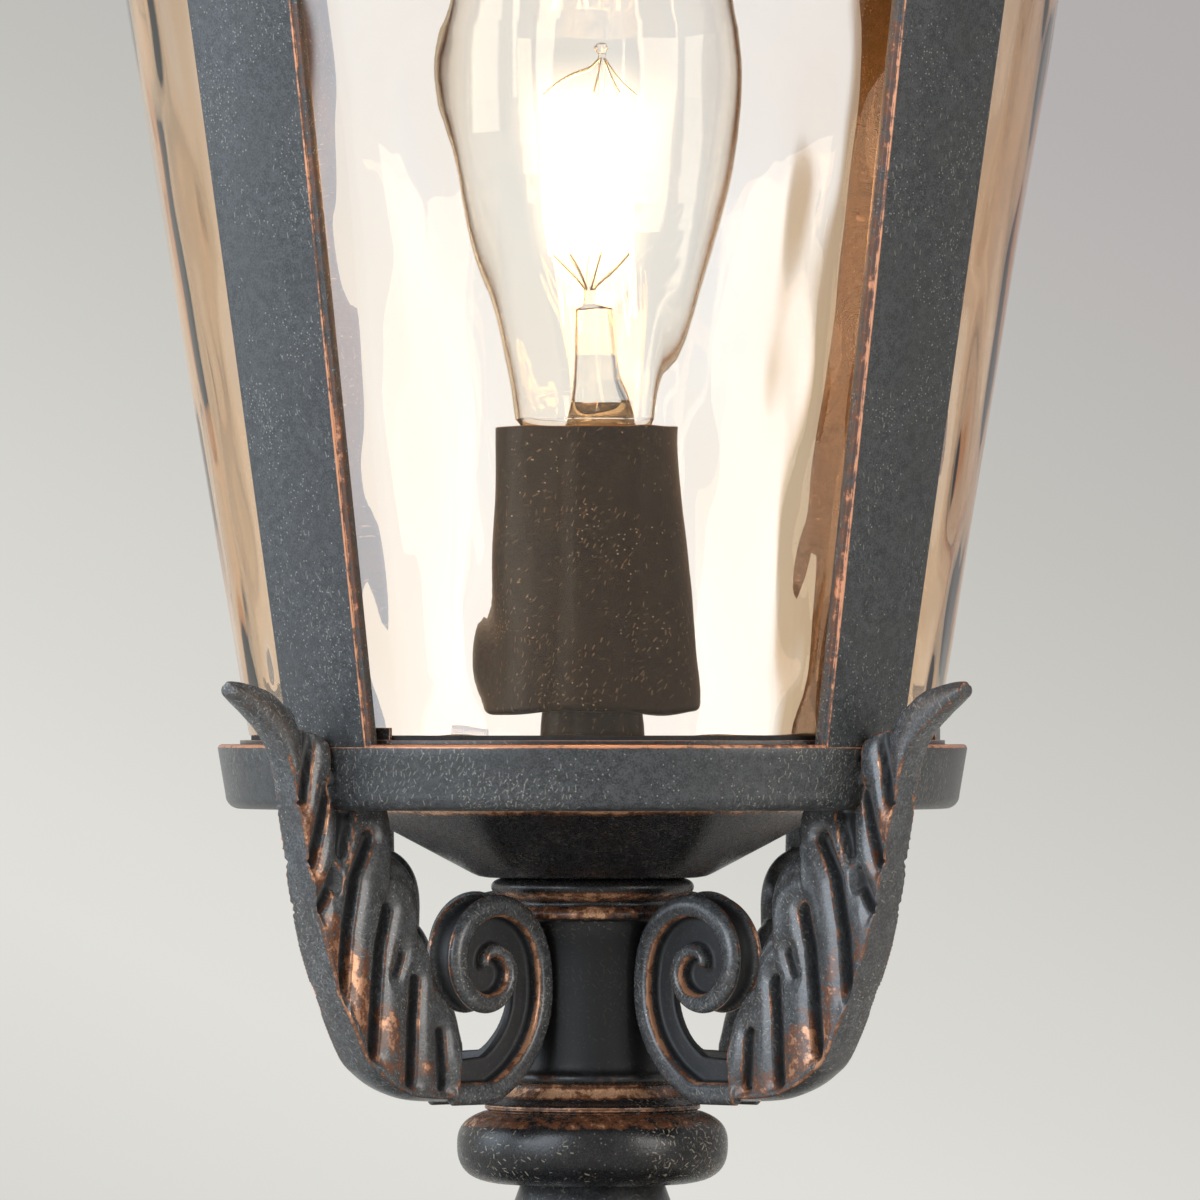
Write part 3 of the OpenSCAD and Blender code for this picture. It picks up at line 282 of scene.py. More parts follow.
# Bronze finishes, with colours from 0 to 255. Each starts from the shared values. The stem, bead, bar,
# cast and leaf looks are one cast finish: the stem and bead get darker colours as painted shade, the
# bars and leaves lighter ones as painted light
sharedBronze = {
    "deep": (24, 24, 26), "brown": (92, 60, 44), "copper": (200, 142, 108), "bump": 0.16,
    "grain": 2000.0, "break": 0.5, "scuff": 0.0, "bevel": 0.0, "lean": (0, 0, 0),
}
# Painted shade: a darker copy of the cast finish, for the stem
stemBronzeShaded = {
    "dark": (20, 20, 22), "light": (42, 42, 44), "cloud": (36, 30, 26), "deep": (6, 6, 7),
    "fleck": (112, 106, 96), "stroke": (110, 100, 86), "brown": (96, 60, 40),
    "copper": (206, 158, 122), "roughness": 0.26, "bump": 0.2, "fleckShare": 0.4,
    "strokeShare": 0.9, "break": 0.7, "specular": 0.4,
}
bronzeLooks = {
    "stemBronzeShaded": stemBronzeShaded,
    # Painted shade: a darker copy, for the bead
    "beadBronzeShaded": {
        **stemBronzeShaded, "dark": (17, 17, 19), "light": (36, 36, 38), "cloud": (32, 27, 24),
        "fleck": (128, 122, 112), "stroke": (186, 174, 152), "fleckShare": 0.6, "strokeShare": 1.5},
    # Painted light: a lighter copy, for the bars
    "barBronzeLit": {
        "dark": (38, 40, 42), "light": (74, 76, 78), "cloud": (62, 62, 62),
        "fleck": (160, 160, 150), "stroke": (140, 138, 128), "roughness": 0.33,
        "fleckShare": 0.6, "strokeShare": 0.3, "grain": 2400.0, "break": 0.62, "specular": 0.5,
        "scuff": 2.4, "lean": (0.3, 0, 0.5)},
    "castBronze": {
        "dark": (26, 27, 29), "light": (60, 61, 63), "cloud": (46, 44, 42),
        "fleck": (140, 138, 128), "stroke": (124, 120, 108), "copper": (200, 146, 112),
        "roughness": 0.3, "fleckShare": 0.5, "strokeShare": 0.5, "specular": 0.45, "bevel": 1.0},
    # Painted light: a lighter copy, for the leaves, standing in for their highlights
    "leafBronzeLit": {
        "dark": (58, 60, 62), "light": (94, 96, 98), "cloud": (62, 56, 52), "deep": (14, 14, 18),
        "fleck": (176, 176, 168), "stroke": (150, 146, 134), "brown": (104, 66, 46),
        "copper": (194, 142, 108), "roughness": 0.25, "fleckShare": 0.25, "strokeShare": 1.1,
        "break": 1.0, "specular": 0.6},
    # Painted highlight: the holder's sharp edges, its mouth rim among them, are painted orange for the
    # lamp's light glinting on them
    "holderBronze": {
        "dark": (5, 4, 4), "light": (40, 34, 28), "cloud": (34, 24, 17), "deep": (6, 6, 7),
        "fleck": (190, 174, 150), "stroke": (138, 116, 92), "brown": (150, 92, 40),
        "copper": (232, 164, 74), "roughness": 0.3, "bump": 0.2, "fleckShare": 0.3,
        "strokeShare": 0.5, "grain": 1600.0, "break": 0.3, "specular": 0.16, "bevel": 1.0,
        "lean": (0.6, 0, 0.35)},
}


def makeBronze(name, changes):
    look = {**sharedBronze, **changes}
    material, tree, shader = newMaterial(name)
    place = objectCoordinates(tree)
    grain = useGroup(tree, "castGrain", {"Vector": place, "Grain": look["grain"], "Clouds": 70.0})
    flecks = useGroup(tree, "wornStrokes", {"Vector": place, "Scale": 900.0, "Length": 0.00018,
                                            "Width": 0.00014, "Share": look["fleckShare"],
                                            "Patches": 60.0})
    strokeShare = math2(tree, "ADD", look["strokeShare"],
                        times(tree, attribute(tree, "scuff"), look["scuff"]))
    strokes = useGroup(tree, "wornStrokes", {"Vector": place, "Scale": 640.0, "Length": 0.00062,
                                             "Width": 0.00013, "Share": strokeShare,
                                             "Patches": 30.0, "Lean": look["lean"]})
    deep = attribute(tree, "deep")
    rub = useGroup(tree, "rubbedEdge", {"Vector": place, "Wear": attribute(tree, "wear"),
                                        "Break": look["break"], "Bevel": look["bevel"]})
    colour = blend(tree, grain["Tone"], paint(*look["dark"]), paint(*look["light"]))
    colour = blend(tree, times(tree, grain["Cloud"], 0.4), colour, paint(*look["cloud"]))
    colour = blend(tree, times(tree, flecks["Mask"], 0.7), colour, paint(*look["fleck"]))
    colour = blend(tree, times(tree, strokes["Mask"], 0.6), colour, paint(*look["stroke"]))
    colour = blend(tree, rub["Mask"], colour, paint(*look["brown"]))
    colour = blend(tree, rub["Bright"], colour, paint(*look["copper"]))
    # Painted shade: carved lines, the scroll's groove and web, and the column's band darken towards the
    # shade colour
    colour = blend(tree, times(tree, deep, 0.85), colour, paint(*look["deep"]))
    tree.links.new(colour, shader.inputs["Base Color"])
    rough = math2(tree, "ADD", look["roughness"] - 0.05, times(tree, grain["Height"], 0.12))
    rough = math2(tree, "ADD", rough, times(tree, deep, 0.3))
    tree.links.new(rough, shader.inputs["Roughness"])
    tree.links.new(times(tree, rub["Bright"], 0.4), shader.inputs["Metallic"])
    shader.inputs["Specular IOR Level"].default_value = look["specular"]
    bump = addNode(tree, "Bump", {"Height": grain["Height"], "Strength": look["bump"],
                                  "Distance": 0.0004})
    if look["bevel"]:
        smooth = addNode(tree, "Bevel", {"Radius": 0.0004}, samples=4).outputs[0]
        tree.links.new(smooth, bump.inputs["Normal"])
    tree.links.new(bump.outputs[0], shader.inputs["Normal"])
    return material


plainLooks = {
    "platedSteel": {"colour": (172, 174, 176), "shade": (120, 122, 124), "roughness": 0.32,
                    "metallic": 0.9, "grain": 900.0, "bump": 0.05},
    "shieldSheet": {"colour": (198, 200, 202), "shade": (158, 160, 164), "roughness": 0.24,
                    "metallic": 0.95, "grain": 400.0, "bump": 0.03},
    "darkSteel": {"colour": (46, 46, 48), "shade": (26, 26, 28), "roughness": 0.42,
                  "metallic": 0.5, "grain": 1500.0, "bump": 0.1},
    "rubber": {"colour": (34, 35, 37), "shade": (22, 23, 24), "roughness": 0.75,
               "metallic": 0.0, "grain": 1200.0, "bump": 0.15},
    "blockPlastic": {"colour": (222, 218, 204), "shade": (196, 190, 172), "roughness": 0.45,
                     "metallic": 0.0, "grain": 700.0, "bump": 0.05},
    "porcelain": {"colour": (232, 228, 216), "shade": (212, 206, 190), "roughness": 0.22,
                  "metallic": 0.0, "grain": 300.0, "bump": 0.03},
    "brass": {"colour": (196, 158, 86), "shade": (142, 106, 52), "roughness": 0.3,
              "metallic": 0.95, "grain": 800.0, "bump": 0.05},
    "brownWire": {"colour": (116, 72, 46), "shade": (88, 52, 32), "roughness": 0.5,
                  "metallic": 0.0, "grain": 600.0, "bump": 0.04},
    "blueWire": {"colour": (52, 92, 160), "shade": (36, 66, 124), "roughness": 0.5,
                 "metallic": 0.0, "grain": 600.0, "bump": 0.04},
    "greenWire": {"colour": (150, 170, 52), "shade": (84, 130, 58), "roughness": 0.5,
                  "metallic": 0.0, "grain": 600.0, "bump": 0.04},
    "lampCap": {"colour": (190, 186, 176), "shade": (140, 134, 122), "roughness": 0.34,
                "metallic": 0.85, "grain": 700.0, "bump": 0.06},
    "lampBlack": {"colour": (30, 28, 30), "shade": (18, 17, 18), "roughness": 0.3,
                  "metallic": 0.0, "grain": 500.0, "bump": 0.05},
}


def makePlain(name, look):
    material, tree, shader = newMaterial(name)
    place = objectCoordinates(tree)
    grain = useGroup(tree, "castGrain", {"Vector": place, "Grain": look["grain"], "Clouds": 90.0})
    scratches = useGroup(tree, "wornStrokes", {"Vector": place, "Share": 0.3})
    rub = useGroup(tree, "rubbedEdge", {"Vector": place, "Bevel": 1.0, "Break": 0.3})
    colour = blend(tree, grain["Cloud"], paint(*look["shade"]), paint(*look["colour"]))
    lighter = tuple(min(255, value + 36) for value in look["colour"])
    marks = math2(tree, "MAXIMUM", times(tree, scratches["Mask"], 0.4), times(tree, rub["Mask"], 0.5))
    colour = blend(tree, marks, colour, paint(*lighter))
    tree.links.new(colour, shader.inputs["Base Color"])
    rough = math2(tree, "ADD", look["roughness"] - 0.05, times(tree, grain["Tone"], 0.14))
    tree.links.new(rough, shader.inputs["Roughness"])
    shader.inputs["Metallic"].default_value = look["metallic"]
    smooth = addNode(tree, "Bevel", {"Radius": 0.0003}, samples=4).outputs[0]
    bump = addNode(tree, "Bump", {"Height": grain["Height"], "Strength": look["bump"],
                                  "Distance": 0.0003, "Normal": smooth})
    tree.links.new(bump.outputs[0], shader.inputs["Normal"])
    return material


lanternGlassLook = {
    "body": (1, 1, 1, 1), "tint": (250, 222, 176), "density": 220.0, "ior": 1.4, "specks": 260.0,
    "speckRange": (0.5, 0.8), "roughness": 0.012, "glow": (196, 224, 255), "glowStrength": 0.8,
    "shade": (255, 232, 196),
}


# One for rays that reach a surface from the camera, straight or through glass
def seenDirectly(tree):
    path = addNode(tree, "LightPath").outputs
    seen = math2(tree, "MAXIMUM", path["Is Camera Ray"], path["Is Transmission Ray"])
    turned = math2(tree, "ADD", path["Diffuse Depth"], path["Glossy Depth"])
    return times(tree, seen, math2(tree, "LESS_THAN", turned, 0.5))


# Glass casts only a tinted shadow, so that light reaches what stands behind it
def letLightThrough(tree, shader, shade):
    clear = addNode(tree, "BsdfTransparent", {"Color": paint(*shade)}).outputs[0]
    isShadow = addNode(tree, "LightPath").outputs["Is Shadow Ray"]
    both = addNode(tree, "MixShader", {0: isShadow, 1: shader.outputs[0], 2: clear}).outputs[0]
    tree.links.new(both, tree.nodes["Material Output"].inputs["Surface"])


# Clear glass, a little rougher at its faint specks
def clearGlass(tree, shader, place, look):
    shader.inputs["Base Color"].default_value = look["body"]
    shader.inputs["Transmission Weight"].default_value = 1.0
    shader.inputs["IOR"].default_value = look["ior"]
    specks = noiseOf(tree, place, look["specks"], detail=3.0)
    tree.links.new(times(tree, remap(tree, specks, *look["speckRange"]), look["roughness"]),
                   shader.inputs["Roughness"])


# Painted light: a glow that the glass gives off though it is no lamp, by its share from 0 to 1
def addGlow(tree, shader, share, look):
    tree.links.new(blend(tree, share, (0, 0, 0, 1), paint(*look["glow"])),
                   shader.inputs["Emission Color"])
    shader.inputs["Emission Strength"].default_value = look["glowStrength"]


def makeLanternGlass(look):
    material, tree, shader = newMaterial("lanternGlass")
    clearGlass(tree, shader, objectCoordinates(tree), look)
    # Painted light: the far wall's inner face glows where it faces the view, by its "inner" share, on
    # rays seen directly
    facing = addNode(tree, "LayerWeight", {"Blend": 0.5}).outputs["Facing"]
    behind = addNode(tree, "NewGeometry").outputs["Backfacing"]
    share = times(tree, remap(tree, facing, 0.75, 0.1),
                  times(tree, attribute(tree, "inner"), math2(tree, "SUBTRACT", 1.0, behind)))
    addGlow(tree, shader, times(tree, share, seenDirectly(tree)), look)
    absorb = addNode(tree, "VolumeAbsorption", {"Color": paint(*look["tint"]),
                                                "Density": look["density"]})
    tree.links.new(absorb.outputs[0], tree.nodes["Material Output"].inputs["Volume"])
    letLightThrough(tree, shader, look["shade"])
    return material


# Painted light: the bulb's glass gives off a glow of its own, standing in for the filament's glare. The
# glow's heights stand in millimetres above the lamp's cap
lampGlassLook = {
    "body": (0.98, 0.985, 0.975, 1), "ior": 1.45, "specks": 500.0, "speckRange": (0.55, 0.8),
    "roughness": 0.02, "glow": (255, 238, 200), "glowStrength": 0.6, "glowRise": (30, 42),
    "glowFall": (80, 64), "shade": (255, 255, 255),
}


def makeLampGlass(look):
    material, tree, shader = newMaterial("lampGlass")
    place = objectCoordinates(tree)
    clearGlass(tree, shader, place, look)
    facing = addNode(tree, "LayerWeight", {"Blend": 0.5}).outputs["Facing"]
    height = addNode(tree, "SeparateXYZ", {0: place}).outputs[2]
    rise = remap(tree, height, *((zBulb + z) * mm for z in look["glowRise"]))
    fall = remap(tree, height, *((zBulb + z) * mm for z in look["glowFall"]))
    # Painted light: the glow is strongest where the glass faces the view, between the rise and fall
    # heights
    addGlow(tree, shader, times(tree, remap(tree, facing, 0.09, 0.0), times(tree, rise, fall)), look)
    letLightThrough(tree, shader, look["shade"])
    return material


filamentLook = {"amber": (255, 196, 96), "pale": (255, 236, 190), "strength": 30.0}


def makeFilament(look):
    material, tree, shader = newMaterial("filamentGlow")
    spots = noiseOf(tree, objectCoordinates(tree), 900.0)
    colour = blend(tree, spots, paint(*look["amber"]), paint(*look["pale"]))
    tree.links.new(colour, shader.inputs["Base Color"])
    tree.links.new(colour, shader.inputs["Emission Color"])
    shader.inputs["Emission Strength"].default_value = look["strength"]
    return material


materials = {name: makeBronze(name, look) for name, look in bronzeLooks.items()}
materials.update({name: makePlain(name, look) for name, look in plainLooks.items()})
materials["lanternGlass"] = makeLanternGlass(lanternGlassLook)
materials["lampGlass"] = makeLampGlass(lampGlassLook)
materials["filamentGlow"] = makeFilament(filamentLook)
print("materials are built")

# Finish of each CAD node by its slot in the record
slotFinish = {
    "cast_finish": "castBronze", "holder_finish": "holderBronze", "dark_steel": "darkSteel",
    "plated_steel": "platedSteel", "shield_sheet": "shieldSheet", "rubber": "rubber",
    "block_plastic": "blockPlastic", "porcelain": "porcelain", "brass": "brass",
    "brown_wire": "brownWire", "blue_wire": "blueWire", "green_wire": "greenWire",
    "lantern_glass": "lanternGlass", "lamp_glass": "lampGlass", "lamp_cap": "lampCap",
    "lamp_black": "lampBlack", "filament": "filamentGlow",
}
for part in frame["record"]["subparts"]:
    surface = frame["nodes"][part["node"]].data.materials
    surface.clear()
    surface.append(materials[slotFinish[part["material_slot"]]])
print("frame has its finishes")


# Stage: pale floor, wall with a soft painted gradient of light, and lamps. The gradient's tones stand
# by their distance in photograph pixels from its brightest line, minus above the line
stageLook = {
    "wallDistance": 0.9, "wallWidth": 6.0, "wallHeight": 3.0, "wallColour": (220, 219, 214),
    "pixel": 0.0002135, "middleHeight": 0.2107, "linePixel": (-550.0, 290.0),
    "lineSlant": (-0.43, 0.90),
    "tones": ((-1400, (176, 172, 172)), (-1150, (181, 177, 177)), (-766, (194, 193, 188)),
              (-374, (213, 212, 207)), (-229, (218, 217, 212)), (-113, (223, 222, 217)),
              (0, (225, 224, 219)), (278, (217, 216, 211)), (400, (213, 212, 207))),
    "floorRadius": 7.0, "floorColour": (214, 213, 208), "floorShade": (210, 209, 204),
    "skyColour": (220, 220, 217), "worldStrength": 0.3, "shinyStrength": 0.5, "aimHeight": 0.25,
    "lampPower": 0.8, "lampColour": (255, 206, 150), "lampSize": 0.011, "lampRise": 55,
}
# Soft boxes: place, width and height in metres, watts and colour
softBoxes = {
    "leftBox": ((-1.75, -1.6, 0.8), (1.7, 1.7), 52.0, (232, 243, 255)),
    "sideBox": ((-2.4, 0.2, 0.5), (1.2, 1.8), 26.0, (226, 240, 255)),
    "rightBox": ((1.85, -1.45, 0.6), (1.0, 1.6), 30.0, (255, 251, 246)),
    "topBox": ((0.2, -0.4, 2.2), (1.2, 1.2), 12.0, (255, 255, 255)),
}


def addSoftBox(name, at, size, power, colour):
    data = bpy.data.lights.new(name, "AREA")
    data.shape = "RECTANGLE"
    data.size, data.size_y = size
    data.energy = power
    data.color = paint(*colour)[:3]
    lamp = bpy.data.objects.new(name, data)
    scene.collection.objects.link(lamp)
    lamp.location = at
    aim = Vector((0, 0, stageLook["aimHeight"]))
    lamp.rotation_euler = (aim - Vector(at)).to_track_quat("-Z", "Y").to_euler()


def makeWall(look):
    bpy.ops.mesh.primitive_plane_add(size=1, location=(0, look["wallDistance"],
                                                       look["wallHeight"] / 2),
                                     rotation=(math.radians(90), 0, 0))
    wall = bpy.context.object
    wall.name = "wall"
    wall.scale = (look["wallWidth"], look["wallHeight"], 1)
    bpy.ops.object.transform_apply(location=True, rotation=True, scale=True)
    material, tree, shader = newMaterial("wallPaintedLight")
    place = addNode(tree, "SeparateXYZ", {0: objectCoordinates(tree)}).outputs
    distance = cameraView["distance"]
    pixelAtWall = look["pixel"] * (distance + look["wallDistance"]) / distance
    rightward = math2(tree, "DIVIDE", place[0], pixelAtWall)
    below = math2(tree, "SUBTRACT", look["middleHeight"], place[2])
    downward = math2(tree, "DIVIDE", below, pixelAtWall)
    parts = [times(tree, math2(tree, "SUBTRACT", way, start), slant) for way, start, slant
             in zip((rightward, downward), look["linePixel"], look["lineSlant"])]
    first, last = look["tones"][0][0], look["tones"][-1][0]
    fromLine = remapLinear(tree, math2(tree, "ADD", *parts), first, last)
    ramp = addNode(tree, "ValToRGB", {0: fromLine})
    elements = ramp.color_ramp.elements
    while len(elements) < len(look["tones"]):
        elements.new(0.5)
    for element, (at, colour) in zip(elements, look["tones"]):
        element.position = (at - first) / (last - first)
        element.color = paint(*colour)
    # Painted light: the wall shows the gradient as its own glow
    seen = addNode(tree, "Emission", {"Color": ramp.outputs[0]}).outputs[0]
    dull = addNode(tree, "BsdfDiffuse", {"Color": paint(*look["wallColour"])}).outputs[0]
    path = addNode(tree, "LightPath").outputs
    direct = math2(tree, "MAXIMUM", path["Is Camera Ray"],
                   math2(tree, "MAXIMUM", path["Is Glossy Ray"], path["Is Transmission Ray"]))
    front = addNode(tree, "MixShader", {0: direct, 1: dull, 2: seen}).outputs[0]
    clear = addNode(tree, "BsdfTransparent").outputs[0]
    behind = addNode(tree, "NewGeometry").outputs["Backfacing"]
    both = addNode(tree, "MixShader", {0: behind, 1: front, 2: clear}).outputs[0]
    tree.links.new(both, tree.nodes["Material Output"].inputs["Surface"])
    tree.nodes.remove(shader)
    wall.data.materials.append(material)
    return wall


def makeFloor(look):
    bpy.ops.mesh.primitive_circle_add(vertices=96, radius=look["floorRadius"], fill_type="NGON")
    floor = bpy.context.object
    floor.name = "floor"
    material, tree, shader = newMaterial("floorPaint")
    cloud = noiseOf(tree, objectCoordinates(tree), 3.0)
    colour = blend(tree, cloud, paint(*look["floorColour"]), paint(*look["floorShade"]))
    tree.links.new(colour, shader.inputs["Base Color"])
    shader.inputs["Roughness"].default_value = 0.85
    floor.data.materials.append(material)
    return floor


makeWall(stageLook)
makeFloor(stageLook)


# World: a plain level for the lighting, the backdrop's own grey where it is seen
def makeWorld(look):
    world = bpy.data.worlds.new("studio")
    scene.world = world
    world.use_nodes = True
    tree = world.node_tree
    background = tree.nodes["Background"]
    background.inputs[0].default_value = paint(*look["skyColour"])
    strength = math2(tree, "ADD", look["worldStrength"],
                     times(tree, seenDirectly(tree), 1.0 - look["worldStrength"]))
    shiny = addNode(tree, "LightPath").outputs["Is Glossy Ray"]
    strength = math2(tree, "ADD", strength, times(tree, shiny, look["shinyStrength"]))
    tree.links.new(strength, background.inputs[1])


# Light of the lamp itself, at the filament
def addLampLight(look):
    data = bpy.data.lights.new("lampLight", "POINT")
    data.energy = look["lampPower"]
    data.shadow_soft_size = look["lampSize"]
    data.color = paint(*look["lampColour"])[:3]
    lamp = bpy.data.objects.new("lampLight", data)
    scene.collection.objects.link(lamp)
    lamp.location = (0, 0, (zBulb + look["lampRise"]) * mm)


makeWorld(stageLook)
for name, box in softBoxes.items():
    addSoftBox(name, *box)
addLampLight(stageLook)
print("stage is set")


# Helpers for the pieces
mergeDistance = 1e-6


def freshObject(name):
    piece = bpy.context.object
    piece.name = name
    piece.data.name = name
    return piece


def editAll():
    bpy.ops.object.mode_set(mode="EDIT")
    bpy.ops.mesh.select_all(action="SELECT")


def closeMesh(fillEnds=False):
    editAll()
    bpy.ops.mesh.remove_doubles(threshold=mergeDistance)
    if fillEnds:
        bpy.ops.mesh.fill_holes(sides=0)
    bpy.ops.mesh.delete_loose()
    bpy.ops.mesh.select_all(action="SELECT")
    bpy.ops.mesh.normals_make_consistent(inside=False)
    bpy.ops.object.mode_set(mode="OBJECT")


def deselectAll():
    bpy.ops.object.select_all(action="DESELECT")


def useModifier(piece, kind, **settings):
    bpy.context.view_layer.objects.active = piece
    modifier = piece.modifiers.new(kind.lower(), kind)
    for key, value in settings.items():
        setattr(modifier, key, value)
    bpy.ops.object.modifier_apply(modifier=modifier.name)


# A grid rolled into a shape: place(a, c) gives each point, with a and c from 0 to 1
def gridTube(name, rows, columns, place, fillEnds=True):
    deselectAll()
    bpy.ops.mesh.primitive_grid_add(x_subdivisions=rows, y_subdivisions=columns, size=1)
    piece = freshObject(name)
    for vertex in piece.data.vertices:
        vertex.co = place(vertex.co.x + 0.5, vertex.co.y + 0.5)
    closeMesh(fillEnds)
    return piece


# A turned piece from its closed outline of radius and height in millimetres
def turned(name, outline, steps=192, bevel=0.3):
    deselectAll()
    bpy.ops.mesh.primitive_circle_add(vertices=len(outline), radius=1, fill_type="NOTHING")
    piece = freshObject(name)
    for vertex, (radius, height) in zip(piece.data.vertices, outline):
        vertex.co = (radius * mm, 0, height * mm)
    editAll()
    bpy.ops.mesh.spin(steps=steps, angle=math.tau, center=(0, 0, 0), axis=(0, 0, 1))
    bpy.ops.object.mode_set(mode="OBJECT")
    closeMesh()
    if bevel:
        useModifier(piece, "BEVEL", width=bevel * mm, segments=2, limit_method="ANGLE",
                    angle_limit=math.radians(34))
    return piece


def joinPieces(name, pieces):
    deselectAll()
    for piece in pieces:
        piece.select_set(True)
    bpy.context.view_layer.objects.active = pieces[0]
    bpy.ops.object.join()
    pieces[0].name = name
    return pieces[0]


def bezier(a, b, c, d, count=8):
    points = []
    for i in range(count + 1):
        t = i / count
        s = 1 - t
        points.append(tuple(s ** 3 * a[k] + 3 * s * s * t * b[k] + 3 * s * t * t * c[k]
                            + t ** 3 * d[k] for k in (0, 1)))
    return points


def arcLine(centre, radius, start, end, count=6):
    angles = [math.radians(start + (end - start) * i / count) for i in range(count + 1)]
    return [(centre[0] + radius * math.cos(a), centre[1] + radius * math.sin(a)) for a in angles]


def raised(points, height):
    return [(radius, z + height) for radius, z in points]


# Wear of each point from how sharply the surface turns outwards there, one over millimetres
def markWear(piece, gentle, sharp, rounds=1):
    mesh = bmesh.new()
    mesh.from_mesh(piece.data)
    mesh.verts.ensure_lookup_table()
    turn = [0.0] * len(mesh.verts)
    for edge in mesh.edges:
        if len(edge.link_faces) == 2:
            one, two = edge.link_faces
            gap = (one.calc_center_median() - two.calc_center_median()).length / mm
            bend = edge.calc_face_angle_signed(0) / max(gap, 0.02)
            for vertex in edge.verts:
                if abs(bend) > abs(turn[vertex.index]):
                    turn[vertex.index] = bend
    for _ in range(rounds):
        turn = [0.5 * turn[v.index] + 0.5 * sum(turn[e.other_vert(v).index] for e in v.link_edges)
                / max(len(v.link_edges), 1) for v in mesh.verts]
    mesh.free()
    layer = piece.data.attributes.get("wear") or piece.data.attributes.new("wear", "FLOAT", "POINT")
    layer.data.foreach_set("value", [min(1, max(0, (value - gentle) / (sharp - gentle)))
                                     for value in turn])


def finishPiece(piece, material, body, slot, *nodes, wear=None, smooth=35):
    deselectAll()
    bpy.context.view_layer.objects.active = piece
    piece.select_set(True)
    if wear:
        markWear(piece, *wear)
    bpy.ops.object.shade_smooth_by_angle(angle=math.radians(smooth))
    piece.select_set(False)
    piece.data.materials.clear()
    piece.data.materials.append(materials[material])
    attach(piece, body)
    if nodes:
        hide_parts(*nodes)
    print(piece.name, "has", len(piece.data.polygons), "faces")
    return piece


# Bracket: acanthus leaf and scroll. Lines run in the bracket's plane, out from the axis and up.
# The scroll's angles go round its eye in degrees from straight below
scrollLook = {
    "radius": 15.2, "columnGap": 0.7, "rimInset": 2.3, "eyeRise": 25.6,
    "pitch": 10.08, "swell": 9.0, "swellTo": 90,
    "start": -24, "end": 640, "turnIn": 450, "innerShare": 0.26,
    "rim": 2.4, "thickness": 9.7, "rows": 220,
    "tapers": ((200, 450, 0.2), (450, 600, 0.3)), "narrow": (430, 560), "narrowShare": 0.86,
    "rounded": (300, 400), "tip": (612, 640),
    "webThickness": 2.2, "webWidth": 7.6, "foot": (-24, 94), "disc": (90, 450),
    "discWidth": 99,  # more than the radius, so that the disc is filled to its middle
    "paintRows": 300, "paintColumns": 121,
}
# Places in a list such as swell count the points of the leaf's spine and edge, from tail to tip
leafLook = {
    "eye": (waistRadius + scrollLook["columnGap"] + scrollLook["rimInset"] + scrollLook["radius"],
            zColumn + scrollLook["eyeRise"]),
    "corner": (ringRadius, zRing),
    "swell": (2.0, 2.0, 4.4, 7.4, 5.2, 1.0, 0.4),
    "spineShare": (0.78, 0.82, 0.84, 0.84, 0.82, 0.72, 0.56, 0.3),
    "edgeShare": (0.86, 0.8, 0.72, 0.66, 0.6, 0.46, 0.34, 0.26),
    "halfThickness": 5.4,
    "thinnest": 0.5,
    "belly": 0.7,
    "roll": 0.6, "rollFrom": 0.9, "rollWidth": 0.1,
    "lipHeight": 0.3, "lipAway": 0.35, "lipWidth": 0.3,
    "fall": 1.3, "fallWidth": 1.3,
    "lineWall": (0.6, 1.05),  # from a line's flat bed to its brink, in half widths
    "edgeRound": 3.4, "heldRound": 0.12, "held": (3.9, 4.05, 5, 5.3),  # where the ring holds it
    "tipFlat": (5, 5.6), "tipFlatShare": 0.8,
    "lag": 0.3, "lagFrom": (0, 1.5), "lagTo": (4.2, 5.4),
    "crown": 0.9,
    "ringGap": 0.3, "ringTouch": 0.15,
    "rubbed": 0.52, "rubbedAcross": (0.02, 0.06, 0.24, 0.46), "rubbedTo": 5.2,
    "rows": 340, "blade": 64, "rim": 10, "strip": 10,
    "wear": (0.35, 1.3, 2),
    "voxel": 0.39,
}


def fromPoint(point, *steps):
    return [(point[0] + dx, point[1] + dz) for dx, dz in steps]


leafSpine = fromPoint(leafLook["eye"], (11, -27.6), (23.4, -26.6), (33.2, -22.3), (39.6, -15.5)) \
    + fromPoint(leafLook["corner"], (3.7, -26.5), (9.6, -1.5), (14.4, 13.5), (27.5, 23.9))
leafEdge = fromPoint(leafLook["eye"], (10.1, -18.4), (17.8, -6.4), (22.8, 5.3)) \
    + fromPoint(leafLook["corner"], (-16, -12.5), (-4.5, -0.7), (8.3, 16.3), (17.5, 24.5), (27.7, 26.1))
# Carved lines of the leaf: half width, depth and points, from the lobe's end to the spine
leafLines = [
    (1.42, 2.18, fromPoint(leafLook["corner"], (1.8, 4.9), (4, -2.5), (6.7, -10.8))),
    (1.65, 2.64, fromPoint(leafLook["corner"], (-10, -5.9), (-5.8, -13.5), (-3.2, -24.5),
                          (-2.4, -33.5), (-1.6, -42.5))),
    (1.60, 2.53, fromPoint(leafLook["eye"], (31.3, 12.2), (33.7, 4.6), (34.7, -3.4), (35.7, -17.4))),
    (1.48, 2.30, fromPoint(leafLook["eye"], (23.3, -2.8), (24.5, -11.4), (24.7, -23.6))),
    (1.37, 1.95, fromPoint(leafLook["eye"], (16.3, -13.9), (16.1, -19.4), (15.3, -24.4))),
    (0.91, 1.26, fromPoint(leafLook["eye"], (27.2, 3.4), (29.1, -1))),
    (1.37, 2.07, fromPoint(leafLook["corner"], (-5.6, -0.3), (-2.3, -8.9), (1.8, -15.4), (4.6, -20.2))),
    (1.37, 2.07, fromPoint(leafLook["corner"], (5.6, 16.7), (7.8, 8.5), (9, 2))),
]


